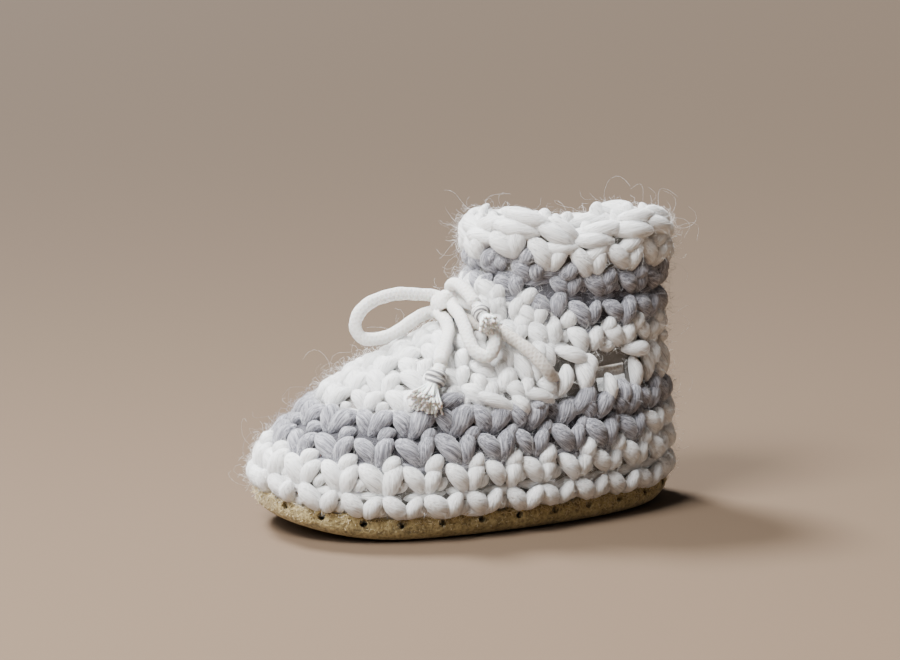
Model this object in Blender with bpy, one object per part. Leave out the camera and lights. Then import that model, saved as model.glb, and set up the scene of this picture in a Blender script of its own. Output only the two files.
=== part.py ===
"""Baby slipper: a wool bootie crocheted in the round on a turned-up suede sole, tied at the ankle.

Frame: the toe points to +X, the wearer's left is +Y and +Z is up. The origin is on the floor at
the middle of the box round the slipper. Sizes are in millimetres; MM turns them into metres.
"""

from collections import namedtuple
from math import pi

import bmesh
import bpy
import numpy as np

MM = 0.001
TOUCH = 0.3  # the gap kept between two pieces that touch

# Each row is one level section of the wool, measured before the toe spring is added.
# front and back are its ends along X, ball and heel its half widths, square its corner fullness.
COLLAR_TOP = 73.8
Section = namedtuple("Section", "height front back ball heel square")
WOOL_SECTIONS = (
    Section(6.3, 53.9, -54.1, 30.2, 25.8, 2.35),
    Section(9.0, 54.7, -54.7, 31.2, 26.8, 2.35),
    Section(13.0, 54.4, -54.9, 31.4, 27.1, 2.32),
    Section(17.0, 52.7, -55.0, 31.2, 27.1, 2.30),
    Section(21.0, 49.9, -55.0, 30.5, 27.0, 2.25),
    Section(26.0, 45.3, -54.7, 28.9, 26.4, 2.20),
    Section(31.0, 39.1, -54.3, 26.8, 25.4, 2.15),
    Section(36.0, 30.9, -53.7, 24.2, 24.0, 2.10),
    Section(40.5, 21.1, -53.3, 21.8, 22.7, 2.05),
    Section(44.0, 11.5, -53.1, 20.6, 21.8, 2.05),
    Section(46.8, 5.1, -53.1, 19.8, 21.2, 2.10),
    Section(50.0, 1.1, -53.1, 19.3, 20.6, 2.15),
    Section(55.0, -0.4, -53.5, 19.0, 20.0, 2.15),
    Section(61.0, -0.9, -54.0, 19.0, 19.8, 2.15),
    Section(67.0, -0.7, -54.5, 19.2, 20.0, 2.15),
    Section(COLLAR_TOP, -0.3, -54.7, 19.2, 20.0, 2.15),
)
BALL_SHIFT = 0.15  # moves the widening from heel to ball back, as a share of the half length
SUEDE_SECTION = Section(0.0, 54.6, -54.3, 29.4, 25.2, 2.35)

# The crochet rows, from the sole up: each is a raised rib, swell high, with lobed stitches.
Row = namedtuple("Row", "name bottom top swell")
CROCHET_ROWS = (
    Row("white_edge", 6.3, 12.0, 1.3),
    Row("white_second", 12.0, 18.7, 1.3),
    Row("grey_third", 18.7, 25.2, 1.2),
    Row("grey_fourth", 25.2, 31.0, 1.1),
    Row("eyelet_posts", 31.0, 41.5, 0.8),
    Row("white_ankle", 41.5, 47.5, 1.1),
    Row("grey_ankle", 47.5, 54.0, 1.2),
    Row("grey_groove", 54.0, 59.5, 0.8),
    Row("white_cuff", 59.5, 66.5, 1.2),
    Row("rim_chain", 66.5, COLLAR_TOP, 1.5),
)
RINGS_IN_A_ROW = 3
VAMP_LEVELS = (31.0, 48.0)  # where the short rows of the vamp lie, by height
VAMP_RINGS = 13
VAMP_ROW_PITCH = 8.4  # along the slope of the vamp
VAMP_SWELL = 1.2
SLOPE_STEP = 0.4  # half the height over which the slope of the surface is taken
VAMP_BLEND = 12.0  # length over which the rows of the side turn into the rows of the vamp
STITCH_PITCH = 10.7
SCALLOP = 0.45  # how far each stitch stands out of its row

ANKLE_SPLIT = -4.5  # X of the side seam line: vamp in front of it, heel and shaft behind
FRONT_COLUMNS = 18  # columns of the wool's mesh on one side, toe to side line
BACK_COLUMNS = 30  # side line to the middle of the heel

WALL = 6.0  # thickness of the crochet
POST_WALL = 3.2  # thickness of the posts in front of the lace channel
CHANNEL = (31.8, 39.8)  # heights between which the lace channel runs inside the posts
CHANNEL_FADE = (-6.5, 3.5)  # where along X the channel shallows out and ends
# The eyelet gaps of one side: where each begins, in columns behind the side line, and its width.
Eyelet = namedtuple("Eyelet", "start columns")
EYELETS = (Eyelet(0, 6), Eyelet(12, 4), Eyelet(22, 4))
# Heights of the rings of the inner surface, with one on each edge of the channel.
INNER_LEVELS = (
    *(6.3, 10.0, 15.0, 20.0, 25.0, 30.3),
    *(CHANNEL[0], 35.8, CHANNEL[1]),
    *(41.3, 45.0, 49.0, 53.0, 59.0, 66.0, 72.7),
)

TOE_SPRING = 4.6
TOE_SPRING_SPAN = (26.5, 54.0)  # from where along X it rises to where it is full
HEEL_LIFT = 1.6
HEEL_LIFT_SPAN = (-39.5, -53.0)
SPRING_FADE = 40.0  # height at which the lift has died out
ARCH_RISE = 0.8
ARCH_SPAN = (-21.5, 8.5)
RIM_WAVE = 1.3  # the rim stands higher at its four corners than between them
RIM_SLOUCH = 1.3  # and leans a little to one side
RIM_WAVE_START = 56.0
RIM_MIDDLE = -26.5  # X of the middle of the collar
RIM_HALF_LENGTH = 28.0
RIM_HALF_WIDTH = 20.0

SUEDE = 1.8
MARGIN_TOP = 6.0
SOLE_COLUMNS = 24  # on one side
# The profile of the suede from the middle of its underside, round the margin, to the footbed.
ProfileStep = namedtuple("ProfileStep", "inset height")
SOLE_PROFILE = (
    ProfileStep(13.0, 0.0),
    ProfileStep(4.6, 0.0),
    ProfileStep(1.7, 0.8),
    ProfileStep(0.3, 2.7),
    ProfileStep(0.0, 4.6),
    ProfileStep(0.1, MARGIN_TOP),
    ProfileStep(SUEDE, MARGIN_TOP),
    ProfileStep(SUEDE + 0.2, 4.2),
    ProfileStep(SUEDE + 2.6, SUEDE),
    ProfileStep(13.0, SUEDE),
)
INSOLE_PROFILE = (
    ProfileStep(13.0, SUEDE + TOUCH),
    ProfileStep(5.7, SUEDE + TOUCH),
    ProfileStep(3.1, 4.3),
    ProfileStep(2.7, 6.2),
    ProfileStep(3.9, 7.3),
    ProfileStep(13.0, 7.3),
)

CORD = 3.2  # diameter of the cotton lace
CORD_STEP = 4.1
# Routes of the lace, in millimetres: X, Y, Z. The run goes from the knot down one side, in through
# the first gap and round behind the posts to the middle of the heel; the other side mirrors it.
LACE_SIDE_ROUTE = (
    (4.1, 5.2, 49.5),
    (2.5, 10.4, 48.8),
    (-0.3, 15.6, 47.8),
    (-3.7, 20.8, 45.2),
    (-6.5, 24.0, 42.4),
    (-8.7, 25.6, 39.4),
    (-10.7, 24.6, 36.8),
    (-12.9, 21.6, 35.2),
    (-15.5, 19.3, 34.6),
    (-18.9, 18.4, 34.5),
    (-23.9, 17.9, 34.6),
    (-29.3, 16.7, 34.8),
    (-34.5, 15.0, 34.9),
    (-39.3, 12.8, 35.0),
    (-43.4, 9.9, 35.1),
    (-46.6, 6.4, 35.2),
    (-48.0, 2.8, 35.4),
    (-48.3, 0.0, 35.4),
)
FAR_LOOP_ROUTE = (
    (5.8, -6.9, 53.5),
    (7.6, -7.1, 53.8),
    (10.6, -7.6, 54.1),
    (14.5, -8.2, 54.4),
    (18.7, -8.8, 53.7),
    (22.6, -9.2, 52.2),
    (25.2, -9.5, 49.6),
    (26.0, -9.4, 46.4),
    (24.4, -9.2, 43.9),
    (20.6, -8.2, 43.5),
    (16.5, -7.4, 44.7),
    (12.9, -7.2, 46.7),
    (9.6, -7.2, 48.6),
    (6.3, -7.2, 49.5),
)
NEAR_LOOP_ROUTE = (
    (6.1, 5.8, 52.0),
    (6.8, 10.8, 50.6),
    (7.1, 14.1, 48.3),
    (7.4, 17.0, 45.7),
    (6.6, 19.8, 43.1),
    (4.5, 21.6, 42.5),
    (3.0, 21.8, 45.2),
    (2.0, 18.6, 48.7),
    (2.1, 13.7, 51.7),
    (2.6, 9.8, 53.0),
    (3.1, 5.8, 53.2),
)
FAR_END_ROUTE = (
    (7.9, 4.1, 49.2),
    (8.4, 7.3, 47.3),
    (11.2, 11.9, 45.0),
    (15.1, 17.2, 40.9),
)
NEAR_END_ROUTE = (
    (5.1, 2.6, 57.5),
    (5.7, 7.0, 58.0),
    (5.3, 11.4, 56.6),
    (4.9, 15.2, 54.2),
)
# The tied tips: stations along each, with the thickness of knot, neck and frayed tassel.
TipStation = namedtuple("TipStation", "x y z radius")
FAR_TIP = (
    TipStation(15.4, 17.8, 40.6, 1.4),
    TipStation(16.6, 19.1, 39.5, 2.4),
    TipStation(17.8, 20.3, 38.4, 2.5),
    TipStation(19.0, 21.4, 37.2, 1.7),
    TipStation(20.0, 22.3, 36.0, 2.2),
    TipStation(21.1, 23.5, 34.6, 2.8),
    TipStation(21.7, 24.3, 33.4, 2.4),
)
NEAR_TIP = (
    TipStation(4.8, 15.6, 53.9, 1.4),
    TipStation(4.8, 16.8, 53.4, 2.2),
    TipStation(4.9, 18.2, 52.7, 2.3),
    TipStation(4.9, 19.6, 51.8, 1.7),
    TipStation(4.6, 21.0, 50.7, 1.9),
    TipStation(4.5, 22.2, 49.9, 1.7),
)
BOW_KNOT = (
    TipStation(4.7, -5.2, 52.4, 1.6),
    TipStation(4.8, -4.2, 52.4, 2.9),
    TipStation(4.9, -2.4, 52.3, 3.5),
    TipStation(5.0, 0.0, 52.2, 3.1),
    TipStation(4.9, 2.4, 52.3, 3.5),
    TipStation(4.8, 4.2, 52.4, 2.9),
    TipStation(4.7, 5.2, 52.4, 1.6),
)
WOOL_SHARP = 0.9  # an edge sharper than this angle, in radians, is not shaded round
SUEDE_SHARP = 0.7
COTTON_SHARP = 1.2
TIP_SIDES = 15
TIP_LOCKS = 5
LOCK_DEPTH = 0.16  # how deep the grooves between the locks are, as a share of the radius
LOCK_TWIST = 0.35  # turn of the locks from one station to the next


def clear_scene():
    """Remove what the scene holds."""
    for obj in list(bpy.data.objects):
        bpy.data.objects.remove(obj, do_unlink=True)


def material(name, colour, roughness):
    """A plain surface of one colour, given as linear red, green and blue."""
    surface = bpy.data.materials.new(name)
    surface.use_nodes = True
    shader = surface.node_tree.nodes["Principled BSDF"]
    shader.inputs["Base Color"].default_value = (*colour, 1.0)
    shader.inputs["Roughness"].default_value = roughness
    shader.inputs["Metallic"].default_value = 0.0
    return surface


def curve_value(stations, values, place):
    """The value at a place on the smooth curve through the stations."""
    slopes = np.gradient(values, stations)
    at = int(np.clip(np.searchsorted(stations, place, side="right") - 1, 0, len(stations) - 2))
    span = stations[at + 1] - stations[at]
    t = (place - stations[at]) / span
    start = values[at] * (2 * t**3 - 3 * t**2 + 1) + slopes[at] * span * (t**3 - 2 * t**2 + t)
    end = values[at + 1] * (3 * t**2 - 2 * t**3) + slopes[at + 1] * span * (t**3 - t**2)
    return start + end


def wool_section(height):
    """The level section of the wool at a height."""
    columns = [np.array(column) for column in zip(*WOOL_SECTIONS)]
    return Section(*(curve_value(columns[0], column, height) for column in columns))


def smooth_step(low, high, value):
    """0 below low, 1 above high and a soft rise between."""
    t = np.clip((value - low) / (high - low), 0.0, 1.0)
    return t * t * (3.0 - 2.0 * t)


def half_outline(section):
    """Points of one side of a section, from the middle of the toe to the middle of the heel."""
    turn = np.linspace(0.0, pi, 400)
    power = 2.0 / section.square
    along = np.sign(np.cos(turn)) * np.abs(np.cos(turn)) ** power
    across = np.abs(np.sin(turn)) ** power
    middle = (section.front + section.back) / 2.0
    reach = (section.front - section.back) / 2.0
    widening = smooth_step(-1.0, 1.0, along + BALL_SHIFT)
    half_width = section.heel + (section.ball - section.heel) * widening
    return np.stack([middle + reach * along, half_width * across], axis=1)


def resample(points, count):
    """The same line with count equal steps."""
    steps = np.linalg.norm(np.diff(points, axis=0), axis=1)
    run = np.concatenate([[0.0], np.cumsum(steps)])
    places = np.linspace(0.0, run[-1], count + 1)
    return np.stack([np.interp(places, run, column) for column in points.T], axis=1)


def mirrored_ring(half):
    """The whole closed outline, from one side of it."""
    other = half[-2:0:-1] * np.array([1.0, -1.0])
    return np.concatenate([half, other])


def lift(along, height):
    """Toe spring and the small rise at the back of the heel, dying out upwards."""
    total = 0.0
    for rise, (start, full) in ((TOE_SPRING, TOE_SPRING_SPAN), (HEEL_LIFT, HEEL_LIFT_SPAN)):
        total = total + rise * np.clip((along - start) / (full - start), 0.0, 1.2) ** 2
    return total * np.clip(1.0 - height / SPRING_FADE, 0.0, 1.0)


def wool_points(height):
    """The ring of the wool's mean surface at a height, as points in space."""
    half = half_outline(wool_section(height))
    split = int(np.argmax(half[:, 0] < ANKLE_SPLIT))
    front = resample(half[: split + 1], FRONT_COLUMNS)
    back = resample(half[split:], BACK_COLUMNS)
    ring = mirrored_ring(np.concatenate([front[:-1], back]))
    angle = np.arctan2(ring[:, 1] / RIM_HALF_WIDTH, (ring[:, 0] - RIM_MIDDLE) / RIM_HALF_LENGTH)
    wave = RIM_SLOUCH * np.sin(angle) - RIM_WAVE * np.cos(4 * angle)
    wave = wave * smooth_step(RIM_WAVE_START, COLLAR_TOP, height)
    level = height + lift(ring[:, 0], height) + wave
    return np.column_stack([ring, level])


def wool_surface(height):
    """Points and outward directions of the wool's mean surface at a height."""
    points = wool_points(height)
    above = min(height + SLOPE_STEP, COLLAR_TOP)
    below = max(height - SLOPE_STEP, WOOL_SECTIONS[0].height)
    upward = wool_points(above) - wool_points(below)
    onward = np.roll(points, -1, axis=0) - np.roll(points, 1, axis=0)
    outward = np.cross(onward, upward)
    return points, outward / np.linalg.norm(outward, axis=1, keepdims=True)


def row_relief(height, points):
    """How far the ribs of the crochet rows stand off the mean surface."""
    row = next((r for r in CROCHET_ROWS if height < r.top), CROCHET_ROWS[-1])
    phase = np.clip((height - row.bottom) / (row.top - row.bottom), 0.0, 1.0)
    round_rib = row.swell * (np.sin(pi * phase) - 0.5)
    steps = np.linalg.norm(np.diff(points, axis=0, append=points[:1]), axis=1)
    run = np.concatenate([[0.0], np.cumsum(steps)[:-1]])
    shift = CROCHET_ROWS.index(row) * 0.5
    scallop = SCALLOP * np.cos(2 * pi * (run / STITCH_PITCH + shift)) * np.sin(pi * phase)
    crest = np.linalg.norm([points[0, 0] - wool_points(VAMP_LEVELS[0])[0, 0], height - VAMP_LEVELS[0]])
    vamp_rib = -VAMP_SWELL / 2 * np.cos(2 * pi * crest / VAMP_ROW_PITCH)
    on_vamp = smooth_step(ANKLE_SPLIT, ANKLE_SPLIT + VAMP_BLEND, points[:, 0])
    on_vamp = on_vamp * (VAMP_LEVELS[0] <= height <= VAMP_LEVELS[1])
    return (round_rib + scallop) * (1 - on_vamp) + vamp_rib * on_vamp


def outer_levels():
    """Heights of the rings of the outer surface, close together where the vamp slopes."""
    low = [row for row in CROCHET_ROWS if row.top <= VAMP_LEVELS[0]]
    high = [row for row in CROCHET_ROWS if row.bottom >= VAMP_LEVELS[1]]
    levels = []
    for row in low:
        levels += list(np.linspace(row.bottom, row.top, RINGS_IN_A_ROW, endpoint=False))
    levels += list(np.linspace(*VAMP_LEVELS, VAMP_RINGS, endpoint=False))
    levels += list(np.linspace(VAMP_LEVELS[1], high[0].bottom, RINGS_IN_A_ROW, endpoint=False))
    for row in high:
        levels += list(np.linspace(row.bottom, row.top, RINGS_IN_A_ROW, endpoint=False))
    levels.append(high[-1].top)
    return levels


def sew(mesh, first, second):
    """Faces between two closed loops of vertices that start side by side and turn alike."""
    a = b = 0
    while a < len(first) or b < len(second):
        next_a = (a + 1) / len(first)
        next_b = (b + 1) / len(second)
        corner_a = first[a % len(first)]
        corner_b = second[b % len(second)]
        if b == len(second) or (a < len(first) and next_a <= next_b):
            mesh.faces.new((corner_a, first[(a + 1) % len(first)], corner_b))
            a += 1
        else:
            mesh.faces.new((corner_a, second[(b + 1) % len(second)], corner_b))
            b += 1


def grid_faces(mesh, rings, left_out):
    """Faces between following rings, without the cells that are left out."""
    for level in range(len(rings) - 1):
        low, high = rings[level], rings[level + 1]
        for column in range(len(low)):
            if (column, level) in left_out:
                continue
            after = (column + 1) % len(low)
            mesh.faces.new((low[column], low[after], high[after], high[column]))


def window_border(rings, column, width, level, height):
    """The vertices round a window in a grid of rings, once round."""
    count = len(rings[0])
    foot = [rings[level][(column + step) % count] for step in range(width)]
    far = [rings[level + step][(column + width) % count] for step in range(height)]
    head = [rings[level + height][(column + width - step) % count] for step in range(width)]
    near = [rings[level + height - step][column % count] for step in range(height)]
    return foot + far + head + near


def finish_object(name, mesh, surface, smooth_angle):
    """Turn a finished bmesh, drawn in millimetres, into an object with outward faces."""
    bmesh.ops.recalc_face_normals(mesh, faces=mesh.faces)
    bmesh.ops.scale(mesh, vec=(MM, MM, MM), verts=mesh.verts)
    data = bpy.data.meshes.new(name)
    mesh.to_mesh(data)
    mesh.free()
    data.shade_smooth()
    data.set_sharp_from_angle(angle=smooth_angle)
    data.materials.append(surface)
    obj = bpy.data.objects.new(name, data)
    bpy.context.scene.collection.objects.link(obj)
    return obj


def level_at(levels, height):
    """Index of the ring nearest to a height."""
    return int(np.argmin(np.abs(np.array(levels) - height)))


def make_upper():
    """The crocheted upper: one hollow wall, open at the collar, underneath and at the eyelets."""
    mesh = bmesh.new()
    outer_heights = outer_levels()
    outer, inner = [], []
    for height in outer_heights:
        points, outward = wool_surface(height)
        stand = row_relief(height, points)[:, None]
        outer.append([mesh.verts.new(p) for p in points + outward * stand])
    for height in INNER_LEVELS:
        points, outward = wool_surface(height)
        in_channel = CHANNEL[0] <= height <= CHANNEL[1]
        behind = 1.0 - smooth_step(*CHANNEL_FADE, points[:, 0])
        depth = WALL - (WALL - POST_WALL) * in_channel * behind[:, None]
        inner.append([mesh.verts.new(p) for p in (points - outward * depth)[::2]])
    outer_low = level_at(outer_heights, CHANNEL[0])
    outer_high = level_at(outer_heights, CHANNEL[1])
    inner_low, inner_high = INNER_LEVELS.index(CHANNEL[0]), INNER_LEVELS.index(CHANNEL[1])
    half = FRONT_COLUMNS + BACK_COLUMNS
    near = [Eyelet(FRONT_COLUMNS + gap.start, gap.columns) for gap in EYELETS]
    far = [Eyelet(2 * half - gap.start - gap.columns, gap.columns) for gap in near]
    outer_holes, inner_holes = set(), set()
    for gap in near + far:
        for column in range(gap.start, gap.start + gap.columns):
            outer_holes |= {(column, level) for level in range(outer_low, outer_high)}
            inner_holes |= {(column // 2, level) for level in range(inner_low, inner_high)}
    grid_faces(mesh, outer, outer_holes)
    grid_faces(mesh, inner, inner_holes)
    sew(mesh, outer[0], inner[0])
    sew(mesh, outer[-1], inner[-1])
    for gap in near + far:
        outside = window_border(outer, gap.start, gap.columns, outer_low, outer_high - outer_low)
        inside = window_border(
            inner, gap.start // 2, gap.columns // 2, inner_low, inner_high - inner_low
        )
        sew(mesh, outside, inside)
    wool = material("white_wool", (0.80, 0.79, 0.77), 0.9)
    return finish_object("upper", mesh, wool, WOOL_SHARP)


def inset_ring(inset):
    """The outline of the suede, moved inwards."""
    ring = mirrored_ring(resample(half_outline(SUEDE_SECTION), SOLE_COLUMNS))
    onward = np.roll(ring, -1, axis=0) - np.roll(ring, 1, axis=0)
    inward = np.stack([-onward[:, 1], onward[:, 0]], axis=1)
    return ring + inset * inward / np.linalg.norm(inward, axis=1, keepdims=True)


def close_with_strips(mesh, ring):
    """Fill a ring that is the same on both sides with strips across it."""
    half = len(ring) // 2
    for column in range(half):
        left, right = ring[column], ring[column + 1]
        far_left, far_right = ring[-column % len(ring)], ring[-(column + 1)]
        corners = list(dict.fromkeys((left, right, far_right, far_left)))
        mesh.faces.new(corners)


def cup_solid(name, profile, surface):
    """A solid from a profile that runs round the suede's outline, underside first."""
    mesh = bmesh.new()
    rings = []
    for step in profile:
        ring = inset_ring(step.inset)
        level = step.height + lift(ring[:, 0], step.height)
        if step.height == 0.0:
            low, high = ARCH_SPAN
            across = np.clip((ring[:, 0] - low) / (high - low), 0.0, 1.0)
            level = level + ARCH_RISE * np.sin(pi * across) ** 2
        rings.append([mesh.verts.new(p) for p in np.column_stack([ring, level])])
    grid_faces(mesh, rings, set())
    close_with_strips(mesh, rings[0])
    close_with_strips(mesh, rings[-1])
    return finish_object(name, mesh, surface, SUEDE_SHARP)


def make_sole():
    """The suede sole, its margin turned up all round."""
    suede = material("tan_suede", (0.50, 0.36, 0.18), 0.95)
    return cup_solid("sole", SOLE_PROFILE, suede)


def make_insole():
    """The felt footbed that lies in the suede cup."""
    felt = material("cream_felt", (0.72, 0.68, 0.60), 0.95)
    return cup_solid("insole", INSOLE_PROFILE, felt)


def smooth_route(route, step):
    """Points every step along the smooth curve through a route."""
    route = np.array(route)
    chords = np.linalg.norm(np.diff(route, axis=0), axis=1)
    stations = np.concatenate([[0.0], np.cumsum(chords)])
    places = np.linspace(0.0, stations[-1], 40 * len(route))
    fine = [[curve_value(stations, column, place) for column in route.T] for place in places]
    fine = np.array(fine)
    length = np.linalg.norm(np.diff(fine, axis=0), axis=1).sum()
    return resample(fine, max(2, round(length / step)))


def make_cord(name, route, surface):
    """A plain round tube of the lace's thickness along a route."""
    data = bpy.data.curves.new(name, "CURVE")
    data.dimensions = "3D"
    data.bevel_depth = CORD / 2 * MM
    data.bevel_resolution = 2
    data.use_fill_caps = True
    points = smooth_route(route, CORD_STEP) * MM
    spline = data.splines.new("POLY")
    spline.points.add(len(points) - 1)
    for spot, place in zip(spline.points, points):
        spot.co = (*place, 1.0)
    data.materials.append(surface)
    obj = bpy.data.objects.new(name, data)
    bpy.context.scene.collection.objects.link(obj)
    return obj


def make_tied_body(name, stations, surface):
    """A knot or a frayed tip: rings round its middle line, with locks that wind round it."""
    mesh = bmesh.new()
    middle = np.array([station[:3] for station in stations])
    along = np.gradient(middle, axis=0)
    along /= np.linalg.norm(along, axis=1, keepdims=True)
    side = np.cross(along, np.array([0.0, 0.0, 1.0]))
    side /= np.linalg.norm(side, axis=1, keepdims=True)
    top = np.cross(side, along)
    turn = np.linspace(0.0, 2 * pi, TIP_SIDES, endpoint=False)
    rings = []
    for index, station in enumerate(stations):
        locks = 1.0 - LOCK_DEPTH * (0.5 - np.cos(TIP_LOCKS * turn) / 2)
        reach = station.radius * locks[:, None]
        wound = turn + LOCK_TWIST * index
        ring = np.cos(wound)[:, None] * side[index] + np.sin(wound)[:, None] * top[index]
        rings.append([mesh.verts.new(p) for p in middle[index] + reach * ring])
    grid_faces(mesh, rings, set())
    mesh.faces.new(rings[0])
    mesh.faces.new(rings[-1])
    return finish_object(name, mesh, surface, COTTON_SHARP)


def make_lace():
    """The lace: one run round the ankle, the knot, two loops and two tied ends."""
    cotton = material("white_cotton", (0.82, 0.80, 0.76), 0.8)
    far_side = [(x, -y, z) for x, y, z in reversed(LACE_SIDE_ROUTE[:-1])]
    make_cord("lace_run", list(LACE_SIDE_ROUTE) + far_side, cotton)
    make_tied_body("bow_knot", BOW_KNOT, cotton)
    make_cord("bow_loop_far", FAR_LOOP_ROUTE, cotton)
    make_cord("bow_loop_near", NEAR_LOOP_ROUTE, cotton)
    make_cord("lace_end_far", FAR_END_ROUTE, cotton)
    make_cord("lace_end_near", NEAR_END_ROUTE, cotton)
    make_tied_body("tip_knot_far", FAR_TIP, cotton)
    make_tied_body("tip_knot_near", NEAR_TIP, cotton)


clear_scene()
make_sole()
make_insole()
make_upper()
make_lace()
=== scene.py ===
# %% [markdown]
# # A crocheted baby slipper
#
# The frame holds a soft first slipper as plain solids: a suede sole, a felt footbed, a hollow wool
# upper and a cotton lace tied in a bow. This lesson dresses those solids. The wool is the main
# work: a maker hooks every stitch from one thick, loosely spun yarn, so every stitch is made here
# as its own plump loops of yarn, laid on the same surface that the solid upper has.
#
# All measures are in millimetres until a mesh is made, and `MM` turns them into metres.

from collections import namedtuple
from math import cos, pi, radians, sin

import bmesh
import bpy
import numpy as np
from mathutils import Matrix, Vector


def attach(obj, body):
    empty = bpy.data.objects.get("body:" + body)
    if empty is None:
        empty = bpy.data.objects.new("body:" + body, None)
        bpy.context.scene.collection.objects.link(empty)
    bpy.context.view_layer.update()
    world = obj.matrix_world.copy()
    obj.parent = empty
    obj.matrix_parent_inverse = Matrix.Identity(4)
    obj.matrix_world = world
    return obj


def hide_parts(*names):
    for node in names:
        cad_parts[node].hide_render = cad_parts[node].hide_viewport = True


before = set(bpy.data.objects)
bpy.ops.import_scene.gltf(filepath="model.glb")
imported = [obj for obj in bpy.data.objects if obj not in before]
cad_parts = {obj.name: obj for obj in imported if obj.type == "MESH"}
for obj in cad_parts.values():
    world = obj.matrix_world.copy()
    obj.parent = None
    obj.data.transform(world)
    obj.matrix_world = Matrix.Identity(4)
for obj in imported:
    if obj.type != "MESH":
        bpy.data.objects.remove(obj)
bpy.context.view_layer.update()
MM = 0.001
chance = np.random.default_rng(11)
print("solids to dress:", sorted(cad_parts))

# %% [markdown]
# ## The camera
#
# The slipper is seen a little from above and from its toe end, with a long lens, so that the near
# side is drawn almost without perspective. The aim is a point inside the slipper, and the camera
# stands back from it along the direction of view.

# %% Camera
VIEW_AZIMUTH = radians(155)
VIEW_ELEVATION = radians(9)
AIM = Vector((0.9, -8.0, 44.4)) * MM
DISTANCE = 620 * MM
back = Vector(
    (
        sin(VIEW_AZIMUTH) * cos(VIEW_ELEVATION),
        -cos(VIEW_AZIMUTH) * cos(VIEW_ELEVATION),
        sin(VIEW_ELEVATION),
    )
)
camera_data = bpy.data.cameras.new("camera")
camera_data.lens = 99.2
camera_data.sensor_width = 36
camera = bpy.data.objects.new("camera", camera_data)
camera.location = AIM + back * DISTANCE
camera.rotation_euler = back.to_track_quat("Z", "Y").to_euler()
bpy.context.scene.collection.objects.link(camera)
bpy.context.scene.camera = camera
print("camera at", [round(c, 3) for c in camera.location])

# %% [markdown]
# ## Small helpers for node trees
#
# A node tree is easier to read when each node is one line. `node` adds a node, sets what it is
# given and links the inputs whose value is another node's output.


# %% Helpers for nodes
def node(tree, kind, inputs=None, **settings):
    """Add a node; an input is a plain value or another node's output."""
    made = tree.nodes.new(kind)
    for name, value in settings.items():
        setattr(made, name, value)
    for name, value in (inputs or {}).items():
        if isinstance(value, bpy.types.NodeSocket):
            tree.links.new(value, made.inputs[name])
        else:
            made.inputs[name].default_value = value
    return made


def out_of(tree, kind, inputs=None, output=0, **settings):
    """One output of a new node."""
    return node(tree, kind, inputs, **settings).outputs[output]


def maths(tree, operation, first, second=0.0):
    """The result of one math node."""
    return out_of(tree, "ShaderNodeMath", {0: first, 1: second}, operation=operation)


def vectors(tree, operation, first, second, output=0):
    """The result of one vector math node."""
    return out_of(tree, "ShaderNodeVectorMath", {0: first, 1: second}, output, operation=operation)


def blend(tree, first, second, share):
    """Two patterns mixed, with a share of the first."""
    rest = maths(tree, "MULTIPLY", second, 1.0 - share)
    return maths(tree, "ADD", maths(tree, "MULTIPLY", first, share), rest)


def principled(name, **inputs):
    """A material with its shader's own sockets set, and the tree and shader to build on."""
    surface = bpy.data.materials.new(name)
    surface.use_nodes = True
    shader = surface.node_tree.nodes["Principled BSDF"]
    for socket, value in inputs.items():
        shader.inputs[socket.replace("_", " ")].default_value = value
    return surface, surface.node_tree, shader


def ramp(tree, value, stops):
    """A colour ramp through (place, colour) stops."""
    made = node(tree, "ShaderNodeValToRGB", {"Fac": value})
    elements = made.color_ramp.elements
    for index, (place, colour) in enumerate(stops):
        stop = elements[index] if index < 2 else elements.new(place)
        stop.position = place
        stop.color = (*colour, 1.0)
    return made.outputs["Color"]


def noise(tree, scale, detail, **more):
    """Cloudy noise of a scale and detail."""
    inputs = {"Scale": scale, "Detail": detail, **more}
    return out_of(tree, "ShaderNodeTexNoise", inputs, "Fac")


def paint(tree, shader, pattern, stops):
    """The base colour, by a ramp over a pattern."""
    tree.links.new(ramp(tree, pattern, stops), shader.inputs["Base Color"])


def bump(tree, shader, height, strength, distance):
    """Small relief from a pattern, read from the shader's normal."""
    relief = {"Height": height, "Strength": strength, "Distance": distance}
    tree.links.new(out_of(tree, "ShaderNodeBump", relief, "Normal"), shader.inputs["Normal"])


def link_object(name, data, *materials):
    """An object at the origin with its place in its mesh."""
    for surface in materials:
        data.materials.append(surface)
    made = bpy.data.objects.new(name, data)
    bpy.context.scene.collection.objects.link(made)
    return made


def mesh_object(name, mesh, *materials, smooth=True):
    """An object made of a finished bmesh, which is freed."""
    data = bpy.data.meshes.new(name)
    mesh.to_mesh(data)
    mesh.free()
    if smooth:
        data.shade_smooth()
    return link_object(name, data, *materials)
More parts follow.
